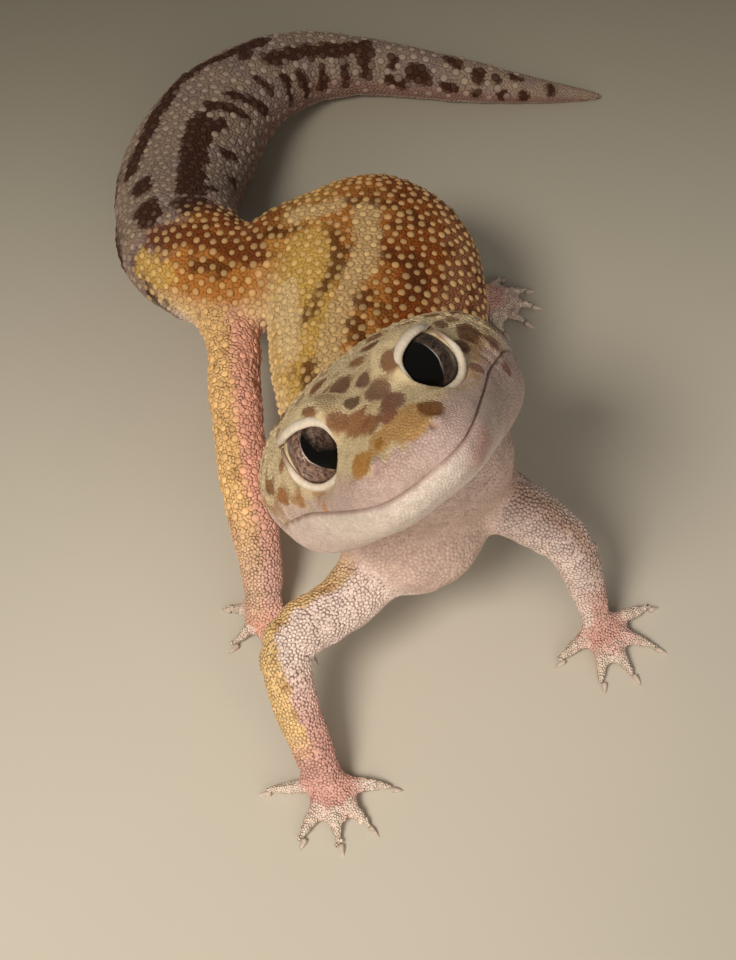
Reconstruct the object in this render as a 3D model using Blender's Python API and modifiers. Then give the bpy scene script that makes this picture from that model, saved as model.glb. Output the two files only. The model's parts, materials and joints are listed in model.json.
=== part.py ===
"""Leopard gecko, life size, standing with its head raised and its tail curled round behind it.

The animal is modelled whole: closed lofts for body, head, limbs and toes are merged into one
body, smoothed where they grow together, stood on small flats, and then parted by thin cuts into
named sub-parts. +X runs to the animal's left shoulder side, +Y towards its hips, +Z up.
Lengths in the tables are millimetres; MM turns them into metres.
"""

import math

import bmesh
import bpy
from mathutils import Matrix, Vector

MM = 0.001
HELPERS = "cutters"

# ---- driving sizes, in millimetres ----
EYE_RADIUS = 3.15
EYE_GAP = 0.3
LID_THICKNESS = 0.95
# The opening between the lids is a cone: its radius at the eye's surface, and how it widens.
EYE_OPENING_RADIUS = 2.65
EYE_OPENING_FLARE = 0.6
EYE_OPENING_REACH = 4.8
CUT = 0.3

# ---- fineness ----
VOXEL = 0.3
BLEND_PASSES = 6
FLESH_TRIANGLES = 4700
SHORT_EDGE = 0.12
SAME_POINT = 0.001
RING = 28
BALL_DETAIL = (24, 14)
SMALL_BALL_DETAIL = (16, 10)
BLADE_SIDES = 24

# The head's own axes: nose forward and up, rolled so that its left side is the higher one.
HEAD_ORIGIN = Vector((0.0, 0.0, 42.0))
HEAD_FORWARD = Vector((0.098, -0.754, 0.650)).normalized()
HEAD_LEFT = Vector((0.826, 0.426, 0.369)).normalized()
HEAD_UP = HEAD_FORWARD.cross(HEAD_LEFT).normalized()
EYE_CENTRE = Vector((-0.3, 4.1, -0.6))
EYE_GAZE = Vector((0.60, 0.72, 0.30)).normalized()
# The mouth from the side: distance forward and height, with the corner turned down behind.
MOUTH_LINE = ((14.0, -4.9), (11.0, -4.6), (7.0, -3.9), (3.0, -3.7), (-3.0, -4.2), (-8.0, -4.9),
              (-9.4, -6.4), (-10.0, -9.0), (-10.2, -16.0))
EAR_CENTRE = Vector((-14.2, 11.6, -4.6))
EAR_SIZE = Vector((0.8, 1.6, 1.5))
MOUTH_BLADE_HALF_SPAN = 15.0
# The cut behind the skull: distance forward, height, lean of the blade and radius.
SKULL_CUT = (-16.6, -4.2, 0.55, 14.5)

# Trunk and rear, head end first: x, y, z of the section's middle, half width, half height.
# The rear starts inside the trunk, because the animal bends sharply at the waist.
TRUNK = (
    (0.6, 10.3, 29.4, 8.8, 6.6),
    (1.7, 9.8, 25.2, 9.8, 6.9),
    (2.9, 11.0, 20.8, 10.2, 7.4),
    (3.5, 15.2, 17.4, 9.2, 7.4),
    (1.9, 20.6, 16.2, 9.7, 7.4),
    (1.2, 26.4, 15.8, 10.3, 7.5),
    (1.5, 32.4, 15.7, 10.9, 7.7),
    (1.7, 38.2, 15.7, 11.0, 7.8),
    (1.5, 43.4, 15.5, 10.0, 7.4),
    (1.1, 47.8, 15.2, 7.4, 6.0),
    (0.8, 50.6, 15.0, 4.0, 3.6),
    (0.7, 51.7, 15.0, 1.4, 1.2),
)
REAR = (
    (3.0, 42.0, 15.3, 8.2, 6.6),
    (-1.2, 42.6, 15.2, 8.6, 6.9),
    (-5.4, 42.8, 14.6, 7.3, 6.2),
    (-10.6, 42.0, 13.8, 5.8, 5.4),
    (-15.2, 44.6, 13.2, 6.3, 5.7),
    (-18.2, 49.8, 12.0, 6.8, 5.7),
    (-18.9, 56.0, 10.0, 6.7, 5.5),
    (-18.9, 62.5, 7.4, 7.4, 6.0),
    (-17.6, 69.5, 6.1, 7.8, 6.4),
    (-13.6, 78.5, 5.4, 7.0, 5.8),
    (-6.2, 85.3, 4.3, 5.6, 4.7),
    (2.7, 86.6, 3.1, 4.1, 3.5),
    (14.3, 83.6, 2.3, 3.0, 2.7),
    (20.1, 82.5, 1.6, 2.2, 2.0),
    (25.9, 81.5, 1.0, 1.3, 1.3),
    (30.8, 81.0, 0.5, 0.5, 0.55),
)

# Head, nose first, in the head's axes: distance forward, half width, then the heights of the
# crown, of the widest place and of the chin, and how square the upper half is (1 is round).
HEAD_SECTIONS = (
    (11.5, 2.2, -2.9, -4.5, -6.0, 1.0),
    (10.5, 4.3, -1.6, -4.4, -7.0, 1.0),
    (8.4, 5.9, -0.5, -4.1, -7.9, 1.15),
    (5.6, 7.0, 0.4, -4.0, -8.7, 1.3),
    (2.4, 8.1, 1.3, -4.0, -9.3, 1.3),
    (-1.2, 9.4, 2.0, -4.2, -10.0, 1.15),
    (-5.0, 11.0, 2.6, -4.2, -10.8, 1.0),
    (-9.0, 12.2, 2.8, -4.4, -11.6, 0.92),
    (-12.6, 12.4, 2.5, -4.8, -12.2, 0.9),
    (-15.6, 11.2, 1.6, -5.0, -12.4, 0.95),
    (-18.6, 9.0, 0.2, -5.4, -12.0, 1.0),
)
CHIN_SQUARENESS = 0.66

# Swellings that the sections leave out: middle and radii. Cheek and nostril are in the head's
# axes, on the left side, and are mirrored to the right.
CHEEK = ((-11.0, 8.0, -4.8), (5.5, 4.5, 5.0))
NOSTRIL = ((9.6, 2.3, -2.6), (1.5, 1.6, 1.3))
CHEST = ((3.2, 11.2, 14.4), (7.6, 9.4, 6.6))

# Limbs, root first: x, y, z and radius. The first point lies inside the body.
LIMBS = {
    "arm_right": ((2.4, 8.6, 13.6, 3.6), (-3.4, 2.8, 11.6, 3.0), (-8.8, -0.6, 11.0, 2.7),
                  (-8.6, -4.4, 7.4, 2.4), (-7.0, -8.4, 3.6, 2.1), (-6.4, -9.4, 2.0, 1.9)),
    "arm_left": ((5.5, 13.0, 16.0, 3.6), (12.0, 9.8, 15.3, 3.2), (17.2, 7.4, 12.0, 2.6),
                 (18.8, 6.2, 7.8, 2.1), (19.8, 5.6, 3.8, 1.7), (20.1, 5.3, 2.0, 1.7)),
    "leg_right": ((-15.0, 43.6, 12.8, 4.0), (-13.0, 36.0, 12.4, 3.0), (-12.9, 28.0, 11.4, 2.8),
                  (-12.4, 20.6, 8.6, 2.7), (-11.4, 13.4, 4.8, 2.4), (-11.4, 9.8, 2.0, 2.0)),
    "leg_left": ((-15.0, 47.6, 11.0, 3.9), (-8.4, 51.2, 6.8, 2.9), (-0.8, 52.6, 6.2, 2.7),
                 (5.8, 51.6, 4.6, 2.3), (11.2, 49.4, 2.9, 1.9), (12.6, 48.8, 1.9, 1.8)),
}

# The way that a form's first ring has its upper side: the nape faces back, limbs nearly up.
NAPE_BACK = Vector((0.0, 1.0, 0.3))
LIMB_BACK = Vector((0.2, 0.1, 1.0))

# Feet: middle of the palm, its radius, toe headings in degrees from +X, and toe lengths.
FEET = {
    "hand_right": ((-6.1, -9.9), 2.1, (-2, -50, -84, -120, 176), (5.2, 4.9, 5.2, 5.1, 5.4)),
    "hand_left": ((20.3, 4.9), 1.9, (26, -22, -62, -94, -146), (5.4, 5.2, 5.2, 5.2, 4.4)),
    "foot_right": ((-11.4, 9.2), 2.0, (-12, -48, -84, -142, 154), (4.6, 5.6, 5.6, 3.6, 3.8)),
    "foot_left": ((13.4, 48.7), 1.9, (-66, -34, -6, 20, 58), (4.2, 4.8, 5.0, 4.8, 4.0)),
}
PALM_HEIGHT = 1.3
PALM_HALF_THICKNESS = 1.45
# A toe from the palm outwards: share of its length, height of its middle and radius.
TOE = ((0.1, 1.2, 0.95), (0.45, 1.15, 0.95), (0.8, 0.75, 0.78), (1.0, 0.5, 0.6))
CLAW_RADIUS = 0.4
CLAW_LENGTH = 0.9

# Cuts across trunk and tail: the table, and the place along it in rows from 0.
SPINE_CUTS = {"chest": (TRUNK, 4.7), "hips": (REAR, 6.3), "tail_base": (REAR, 8.6),
              "tail_middle": (REAR, 10.4), "tail_rear": (REAR, 12.1)}
# Cuts where two parts lie side by side: middle, the way the blade faces, and radius.
THROAT_CUT = ((3.4, 11.4, 21.6), (0.1, 0.35, -0.93), 13.0)
WAIST_CUT = ((-9.9, 46.2, 11.6), (-1.0, 0.0, 0.0), 10.8)
# Cuts across each limb: the share of the way along its table, in steps from 0.
LIMB_CUTS = {"arm_right": (1.1, 2.1, 4.5), "arm_left": (1.25, 2.1, 4.5),
             "leg_right": (1.15, 2.6, 4.6), "leg_left": (2.5, 4.4)}
SPINE_MARGIN = 3.0
LIMB_MARGIN = 1.5
# The block under the floor: length, width and depth.
FLOOR_BLOCK = (300.0, 300.0, 20.0)

EYE_ROUGHNESS = 0.12
SKIN_ROUGHNESS = 0.6
COLOURS = {
    "pale_skin": (0.86, 0.74, 0.69, 1.0),
    "yellow_skin": (0.80, 0.60, 0.30, 1.0),
    "brown_skin": (0.62, 0.42, 0.24, 1.0),
    "tail_skin": (0.52, 0.38, 0.34, 1.0),
    "pink_skin": (0.84, 0.62, 0.56, 1.0),
    "eye": (0.06, 0.045, 0.04, 1.0),
}

# Sub-parts: name -> (a point inside it, colour). Head points are in the head's axes.
HEAD_PARTS = {
    "head": ((-6.0, 0.0, -1.0), "brown_skin"),
    "jaw": ((0.0, 0.0, -7.0), "pale_skin"),
}
BODY_PARTS = {
    "neck": ((2.3, 10.4, 25.0), "pale_skin"),
    "chest": ((2.6, 15.0, 16.0), "yellow_skin"),
    "belly": ((0.9, 34.0, 15.7), "yellow_skin"),
    "hips": ((-16.6, 49.0, 12.6), "yellow_skin"),
    "tail_base": ((-18.4, 67.0, 6.6), "tail_skin"),
    "tail_middle": ((-10.0, 82.5, 5.0), "tail_skin"),
    "tail_rear": ((5.0, 86.4, 3.0), "tail_skin"),
    "tail_tip": ((22.0, 82.2, 1.5), "tail_skin"),
    "upper_arm_right": ((-6.2, 1.6, 12.0), "yellow_skin"),
    "forearm_right": ((-8.4, -4.6, 7.2), "pink_skin"),
    "hand_right": ((-6.1, -10.6, 1.3), "pink_skin"),
    "upper_arm_left": ((14.8, 8.5, 13.8), "pale_skin"),
    "forearm_left": ((18.8, 6.2, 7.8), "pink_skin"),
    "hand_left": ((20.6, 4.0, 1.3), "pink_skin"),
    "thigh_right": ((-13.6, 31.0, 12.0), "yellow_skin"),
    "shank_right": ((-12.2, 18.4, 7.4), "yellow_skin"),
    "foot_right": ((-11.6, 8.6, 1.3), "pink_skin"),
    "thigh_left": ((-5.0, 51.6, 7.0), "yellow_skin"),
    "shank_left": ((6.2, 51.8, 5.0), "yellow_skin"),
    "foot_left": ((13.8, 48.6, 1.3), "pink_skin"),
}


# ---- helpers ----
def clear_scene():
    for obj in list(bpy.data.objects):
        bpy.data.objects.remove(obj)


def new_collection(name):
    group = bpy.data.collections.new(name)
    bpy.context.scene.collection.children.link(group)
    return group


def new_object(name, bm, group):
    mesh = bpy.data.meshes.new(name)
    bm.to_mesh(mesh)
    bm.free()
    obj = bpy.data.objects.new(name, mesh)
    group.objects.link(obj)
    if group.name == HELPERS:
        obj.hide_render = True
        obj.display_type = "WIRE"
    return obj


def head_matrix():
    """From the head's axes in millimetres to the world in metres."""
    axes = Matrix((HEAD_FORWARD, HEAD_LEFT, HEAD_UP)).transposed().to_4x4()
    return Matrix.Translation(HEAD_ORIGIN * MM) @ axes @ Matrix.Scale(MM, 4)


def smooth_row(rows, place):
    """A row of numbers between the table's rows, on a smooth curve through them."""
    step = min(int(place), len(rows) - 2)
    t = place - step
    before, start, end, after = (rows[min(max(step + k, 0), len(rows) - 1)] for k in (-1, 0, 1, 2))
    blended = []
    for a, b, c, d in zip(before, start, end, after):
        blended.append(0.5 * (2 * b + (c - a) * t + (2 * a - 5 * b + 4 * c - d) * t ** 2
                              + (3 * b - a - 3 * c + d) * t ** 3))
    return blended


def direction_at(rows, place):
    """The way a table's line runs at a place along it."""
    ahead = Vector(smooth_row(rows, min(place + 0.05, len(rows) - 1))[:3])
    behind = Vector(smooth_row(rows, max(place - 0.05, 0))[:3])
    return (ahead - behind).normalized()


def ring_matrix(centre, forward, up, half_width, half_height):
    """Places a unit circle, drawn in its own XY plane, square across a line."""
    up = (up - forward * up.dot(forward)).normalized()
    side = up.cross(forward)
    axes = Matrix((side * half_width, up * half_height, forward)).transposed()
    return Matrix.Translation(centre) @ axes.to_4x4(), up


def bridge_rings(bm, rings):
    """One closed skin over a row of rings, capped at both ends."""
    loops = []
    for verts in rings:
        loops.append([e for e in bm.edges if e.verts[0] in verts and e.verts[1] in verts])
    for first, second in zip(loops, loops[1:]):
        bmesh.ops.bridge_loops(bm, edges=first + second)
    for loop in (loops[0], loops[-1]):
        bmesh.ops.contextual_create(bm, geom=loop)
    bmesh.ops.recalc_face_normals(bm, faces=bm.faces)


def loft(name, rows, group, steps=3, dorsal=Vector((0, 0, 1))):
    """A round-sectioned body through rows of x, y, z, half width and half height, in millimetres."""
    bm = bmesh.new()
    rings = []
    count = (len(rows) - 1) * steps
    for k in range(count + 1):
        place = k / steps
        row = smooth_row(rows, place)
        matrix, dorsal = ring_matrix(Vector(row[:3]) * MM, direction_at(rows, place), dorsal,
                                     row[3] * MM, row[-1] * MM)
        made = bmesh.ops.create_circle(bm, segments=RING, radius=1.0, matrix=matrix)
        rings.append(made["verts"])
    bridge_rings(bm, rings)
    return new_object(name, bm, group)


def ellipsoid(name, centre, radii, group, matrix, detail=BALL_DETAIL):
    """A ball stretched to three radii in millimetres, under a matrix that turns them to metres."""
    bm = bmesh.new()
    place = matrix @ Matrix.Translation(centre) @ Matrix.Diagonal((*radii, 1.0))
    bmesh.ops.create_uvsphere(bm, u_segments=detail[0], v_segments=detail[1], radius=1.0,
                              matrix=place)
    return new_object(name, bm, group)


def apply_modifiers(obj):
    """The object's mesh becomes the one that its modifiers make."""
    graph = bpy.context.evaluated_depsgraph_get()
    mesh = bpy.data.meshes.new_from_object(obj.evaluated_get(graph))
    obj.modifiers.clear()
    obj.data = mesh


# ---- the flesh ----
def make_head(group):
    """Skull and jaws as one form with a roof-shaped snout, and the swellings on it."""
    bm = bmesh.new()
    to_world = head_matrix()
    rings = []
    steps = 3
    for k in range((len(HEAD_SECTIONS) - 1) * steps + 1):
        forward, half_width, crown, widest, chin, roof = smooth_row(HEAD_SECTIONS, k / steps)
        made = bmesh.ops.create_circle(bm, segments=RING, radius=1.0)
        for vert in made["verts"]:
            power = roof if vert.co.y > 0 else CHIN_SQUARENESS
            height = (crown - widest) if vert.co.y > 0 else (widest - chin)
            out = math.copysign(abs(vert.co.x) ** power, vert.co.x) * half_width
            up = math.copysign(abs(vert.co.y) ** power, vert.co.y) * height + widest
            vert.co = to_world @ Vector((forward, out, up))
        rings.append(made["verts"])
    bridge_rings(bm, rings)
    pieces = [new_object("head_form", bm, group)]
    pieces.append(ellipsoid("chest_swelling", *CHEST, group, Matrix.Scale(MM, 4)))
    lid = EYE_RADIUS + LID_THICKNESS
    for side in (1, -1):
        eye = Vector((EYE_CENTRE.x, side * EYE_CENTRE.y, EYE_CENTRE.z))
        pieces.append(ellipsoid("lid_dome", eye, (lid, lid, lid), group, to_world))
        for name, ((forward, out, up), radii) in (("nostril", NOSTRIL), ("cheek", CHEEK)):
            middle = (forward, side * out, up)
            pieces.append(ellipsoid(name + "_swelling", middle, radii, group, to_world))
    return pieces


def make_foot(name, group):
    """A palm on the floor with five toes, each ending in a short claw."""
    (x, y), palm, headings, lengths = FEET[name]
    middle = Vector((x, y, PALM_HEIGHT))
    radii = (palm, palm, PALM_HALF_THICKNESS)
    pieces = [ellipsoid(name + "_palm", middle, radii, group, Matrix.Scale(MM, 4))]
    for heading, length in zip(headings, lengths):
        angle = math.radians(heading)
        along = Vector((math.cos(angle), math.sin(angle), 0))
        rows = []
        for share, height, radius in TOE:
            point = middle + along * length * share
            rows.append((point.x, point.y, height, radius, radius))
        tip = middle + along * (length + CLAW_LENGTH)
        rows.append((tip.x, tip.y, CLAW_RADIUS, CLAW_RADIUS, CLAW_RADIUS))
        pieces.append(loft(name + "_toe", rows, group, steps=2))
    return pieces


def make_flesh(group):
    """Every closed form of the animal, overlapping where they grow together."""
    pieces = [loft("trunk_form", TRUNK, group, steps=4, dorsal=NAPE_BACK)]
    pieces.append(loft("rear_form", REAR, group, steps=4))
    pieces += make_head(group)
    for name, rows in LIMBS.items():
        pieces.append(loft(name, rows, group, dorsal=LIMB_BACK))
    for name in FEET:
        pieces += make_foot(name, group)
    return pieces


def merged(pieces, name, group):
    """Overlapping closed forms made one smooth body, with few triangles where it is plain."""
    bm = bmesh.new()
    for piece in pieces:
        bm.from_mesh(piece.data)
        bpy.data.objects.remove(piece)
    body = new_object(name, bm, group)
    remesh = body.modifiers.new("one_skin", "REMESH")
    remesh.mode = "VOXEL"
    remesh.voxel_size = VOXEL * MM
    smooth = body.modifiers.new("grown_together", "SMOOTH")
    smooth.factor = 0.5
    smooth.iterations = BLEND_PASSES
    apply_modifiers(body)
    thin = body.modifiers.new("fewer_faces", "DECIMATE")
    thin.use_collapse_triangulate = True
    thin.ratio = FLESH_TRIANGLES / (2 * len(body.data.polygons))
    apply_modifiers(body)
    return body


# ---- cutters ----
def disc(name, centre, normal, radius, group):
    """A thin round blade square across a line, in millimetres."""
    bm = bmesh.new()
    turn = Vector(normal).to_track_quat("Z", "Y").to_matrix().to_4x4()
    place = Matrix.Scale(MM, 4) @ Matrix.Translation(centre) @ turn
    bmesh.ops.create_cone(bm, cap_ends=True, segments=BLADE_SIDES, radius1=radius, radius2=radius,
                          depth=CUT, matrix=place)
    return new_object(name, bm, group)


def spine_blade(name, rows, place, group):
    row = smooth_row(rows, place)
    return disc(name + "_cut", Vector(row[:3]), direction_at(rows, place),
                row[3] + SPINE_MARGIN, group)


def limb_blade(limb, place, group):
    rows = LIMBS[limb]
    row = smooth_row(rows, place)
    return disc(limb + "_cut", Vector(row[:3]), direction_at(rows, place), row[3] + LIMB_MARGIN,
                group)


def neck_blades(group):
    """Between skull and neck, leaning with the back of the head, and between throat and chest."""
    forward, up, lean, radius = SKULL_CUT
    centre = HEAD_ORIGIN + HEAD_FORWARD * forward + HEAD_UP * up
    skull = disc("skull_cut", centre, HEAD_FORWARD + HEAD_UP * lean, radius, group)
    return [skull, disc("throat_cut", *THROAT_CUT, group)]


def mouth_blade(group):
    """The mouth line from lip to lip, turned down behind the corner to part the jaw."""
    bm = bmesh.new()
    to_world = head_matrix()
    edge = []
    for forward, up in MOUTH_LINE:
        point = Vector((forward, -MOUTH_BLADE_HALF_SPAN, up))
        edge.append(bm.verts.new(to_world @ point))
    drawn = [bm.edges.new(pair) for pair in zip(edge, edge[1:])]
    swept = bmesh.ops.extrude_edge_only(bm, edges=drawn)
    moved = [item for item in swept["geom"] if isinstance(item, bmesh.types.BMVert)]
    bmesh.ops.translate(bm, verts=moved, vec=HEAD_LEFT * 2 * MOUTH_BLADE_HALF_SPAN * MM)
    blade = new_object("mouth_cut", bm, group)
    wall = blade.modifiers.new("blade", "SOLIDIFY")
    wall.thickness = CUT * MM
    wall.offset = 0
    apply_modifiers(blade)
    return blade


def floor_block(group):
    """Everything under the floor, so that feet and tail stand on flats at one level."""
    bm = bmesh.new()
    place = Matrix.Scale(MM, 4) @ Matrix.Translation((0, 0, -FLOOR_BLOCK[2] / 2))
    bmesh.ops.create_cube(bm, size=1.0, matrix=place @ Matrix.Diagonal((*FLOOR_BLOCK, 1.0)))
    return new_object("floor_cut", bm, group)


def eye_cutters(side, group):
    """The socket, and the opening between the lids."""
    to_world = head_matrix()
    eye = Vector((EYE_CENTRE.x, side * EYE_CENTRE.y, EYE_CENTRE.z))
    gaze = Vector((EYE_GAZE.x, side * EYE_GAZE.y, EYE_GAZE.z))
    socket_radius = EYE_RADIUS + EYE_GAP
    socket = ellipsoid("socket_cut", eye, (socket_radius,) * 3, group, to_world,
                       SMALL_BALL_DETAIL)
    bm = bmesh.new()
    turn = gaze.to_track_quat("Z", "Y").to_matrix().to_4x4()
    at_eye = math.sqrt(EYE_RADIUS ** 2 - EYE_OPENING_RADIUS ** 2)
    narrow = EYE_OPENING_RADIUS - at_eye * EYE_OPENING_FLARE
    wide = EYE_OPENING_RADIUS + (EYE_OPENING_REACH - at_eye) * EYE_OPENING_FLARE
    place = to_world @ Matrix.Translation(eye + gaze * EYE_OPENING_REACH / 2) @ turn
    bmesh.ops.create_cone(bm, cap_ends=True, segments=BLADE_SIDES, radius1=narrow, radius2=wide,
                          depth=EYE_OPENING_REACH, matrix=place)
    return [socket, new_object("lid_opening_cut", bm, group)]


def ear_cutter(side, group):
    """The hollow of the ear, an upright oval behind the corner of the mouth."""
    ear = Vector((EAR_CENTRE.x, side * EAR_CENTRE.y, EAR_CENTRE.z))
    return ellipsoid("ear_cut", ear, EAR_SIZE, group, head_matrix(), SMALL_BALL_DETAIL)


def subtract(body, cutters):
    """Cuts every cutter from the body, and removes the cutters."""
    for cutter in cutters:
        cut = body.modifiers.new(cutter.name, "BOOLEAN")
        cut.operation = "DIFFERENCE"
        cut.solver = "EXACT"
        cut.object = cutter
    apply_modifiers(body)
    for cutter in cutters:
        bpy.data.objects.remove(cutter)


# ---- parting and finishing ----
def material(name):
    made = bpy.data.materials.get(name)
    if made is None:
        made = bpy.data.materials.new(name)
        made.use_nodes = True
        shader = made.node_tree.nodes["Principled BSDF"]
        shader.inputs["Base Color"].default_value = COLOURS[name]
        roughness = EYE_ROUGHNESS if name == "eye" else SKIN_ROUGHNESS
        shader.inputs["Roughness"].default_value = roughness
        shader.inputs["Metallic"].default_value = 0.0
    return made


def part_points():
    """Every flesh part's name with its inner point in metres, and its colour."""
    to_world = head_matrix()
    points = {n: (to_world @ Vector(p), c) for n, (p, c) in HEAD_PARTS.items()}
    points.update({n: (Vector(p) * MM, c) for n, (p, c) in BODY_PARTS.items()})
    return points


def loose_groups(bm):
    """The mesh's unconnected pieces, each as a list of faces."""
    left = set(bm.faces)
    groups = []
    while left:
        todo = [left.pop()]
        found = list(todo)
        while todo:
            face = todo.pop()
            for edge in face.edges:
                for other in edge.link_faces:
                    if other in left:
                        left.discard(other)
                        todo.append(other)
                        found.append(other)
        groups.append(found)
    return groups


def part_out(body, group):
    """Gives each severed piece its own object, named by the inner point that lies nearest."""
    bm = bmesh.new()
    bm.from_mesh(body.data)
    bmesh.ops.remove_doubles(bm, verts=bm.verts, dist=SAME_POINT * MM)
    points = part_points()
    pieces = loose_groups(bm)
    middles = []
    for faces in pieces:
        area = sum(f.calc_area() for f in faces)
        total = sum((f.calc_center_median() * f.calc_area() for f in faces), Vector())
        middles.append(total / area)
    for name, (point, colour) in points.items():
        nearest = min(range(len(pieces)), key=lambda k: (middles[k] - point).length)
        keep = {v for f in pieces[nearest] for v in f.verts}
        own = bm.copy()
        own.verts.ensure_lookup_table()
        kept = {v.index for v in keep}
        bmesh.ops.delete(own, geom=[v for v in own.verts if v.index not in kept],
                         context="VERTS")
        bmesh.ops.dissolve_degenerate(own, edges=own.edges, dist=SHORT_EDGE * MM)
        part = new_object(name, own, group)
        part.data.materials.append(material(colour))
        part.data.shade_smooth()
    bm.free()
    bpy.data.objects.remove(body)
    return len(pieces)


def make_eye(side, group):
    eye = Vector((EYE_CENTRE.x, side * EYE_CENTRE.y, EYE_CENTRE.z))
    name = "eye_left" if side > 0 else "eye_right"
    ball = ellipsoid(name, eye, (EYE_RADIUS,) * 3, group, head_matrix(), SMALL_BALL_DETAIL)
    ball.data.materials.append(material("eye"))
    ball.data.shade_smooth()


def centre_on_floor(group):
    """Moves the whole animal so that the middle of its box stands over the origin."""
    corners = [obj.matrix_world @ v.co for obj in group.objects for v in obj.data.vertices]
    lowest = Vector((min(c.x for c in corners), min(c.y for c in corners), 0))
    highest = Vector((max(c.x for c in corners), max(c.y for c in corners), 0))
    shift = Matrix.Translation(-(lowest + highest) / 2)
    for obj in group.objects:
        obj.data.transform(shift)


def main():
    """Models the animal whole, hollows eyes and ears, and parts it."""
    clear_scene()
    gecko = new_collection("leopard_gecko")
    helpers = new_collection(HELPERS)
    body = merged(make_flesh(helpers), "flesh", helpers)
    openings = [floor_block(helpers)]
    for side in (1, -1):
        openings += eye_cutters(side, helpers)
        openings.append(ear_cutter(side, helpers))
    subtract(body, openings)
    blades = neck_blades(helpers) + [mouth_blade(helpers)]
    blades.append(disc("waist_cut", *WAIST_CUT, helpers))
    for name, (rows, place) in SPINE_CUTS.items():
        blades.append(spine_blade(name, rows, place, helpers))
    for limb, places in LIMB_CUTS.items():
        blades += [limb_blade(limb, place, helpers) for place in places]
    subtract(body, blades)
    count = part_out(body, gecko)
    for side in (1, -1):
        make_eye(side, gecko)
    centre_on_floor(gecko)
    print(count, "pieces of flesh for", len(HEAD_PARTS) + len(BODY_PARTS), "names")


main()
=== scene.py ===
import json
import math
from itertools import product

import bpy
import numpy as np
from mathutils import Matrix, Vector
from mathutils.bvhtree import BVHTree
from mathutils.kdtree import KDTree

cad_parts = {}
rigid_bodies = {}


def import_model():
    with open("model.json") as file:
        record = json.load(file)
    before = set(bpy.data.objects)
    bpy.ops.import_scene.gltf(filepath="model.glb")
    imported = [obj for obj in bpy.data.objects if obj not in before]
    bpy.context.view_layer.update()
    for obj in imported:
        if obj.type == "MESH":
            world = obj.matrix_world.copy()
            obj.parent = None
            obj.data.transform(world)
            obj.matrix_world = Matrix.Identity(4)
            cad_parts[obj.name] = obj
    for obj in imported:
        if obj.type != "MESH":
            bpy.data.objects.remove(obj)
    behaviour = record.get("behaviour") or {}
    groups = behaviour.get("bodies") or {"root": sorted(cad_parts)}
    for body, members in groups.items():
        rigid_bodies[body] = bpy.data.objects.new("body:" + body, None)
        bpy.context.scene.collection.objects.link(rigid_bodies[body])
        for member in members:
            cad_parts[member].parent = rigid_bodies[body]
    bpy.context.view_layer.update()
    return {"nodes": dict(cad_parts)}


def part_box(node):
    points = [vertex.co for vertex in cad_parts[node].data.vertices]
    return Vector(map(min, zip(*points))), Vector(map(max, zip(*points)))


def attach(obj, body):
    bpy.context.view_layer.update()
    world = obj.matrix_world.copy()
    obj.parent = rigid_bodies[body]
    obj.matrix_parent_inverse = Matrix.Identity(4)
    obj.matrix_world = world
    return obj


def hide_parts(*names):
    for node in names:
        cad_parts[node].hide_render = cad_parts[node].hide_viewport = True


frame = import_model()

mm = 0.001

# The head's own axes: forward, left and up.
headForward = Vector((0.098, -0.754, 0.650)).normalized()
headLeft = Vector((0.826, 0.426, 0.369)).normalized()
headUp = headForward.cross(headLeft).normalized()
headAxes = np.array([headForward, headLeft, headUp])
headHeight = 42.0

# An eyeball's middle, gaze and radius in the head's axes, in millimetres.
eyeShape = {"forward": -0.4, "out": 4.5, "up": -0.2, "gaze": (0.72, 0.64, 0.28), "radius": 3.2}

eyeCorners = [corner for node in ("eye_left", "eye_right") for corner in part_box(node)]
eyesMiddle = sum(eyeCorners, Vector()) / 4
headOrigin = eyesMiddle - (headForward * eyeShape["forward"] + headUp * eyeShape["up"]) * mm
standPoint = np.array(headOrigin - Vector((0, 0, headHeight)) * mm)


def toTable(points):
    return (np.asarray(points) - standPoint) / mm


def toScene(points):
    return np.asarray(points) * mm + standPoint


def toHead(tablePoints):
    return (tablePoints - (0, 0, headHeight)) @ headAxes.T


def fromHead(headPoints):
    return np.asarray(headPoints) @ headAxes + (0, 0, headHeight)


def headDistance(points):
    return np.linalg.norm(points - (0, 0, headHeight), axis=1)


def onLeft(head):
    # Points in the head's axes with the right side's mirrored to the left.
    return np.stack([head[:, 0], np.abs(head[:, 1]), head[:, 2]], 1)


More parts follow.
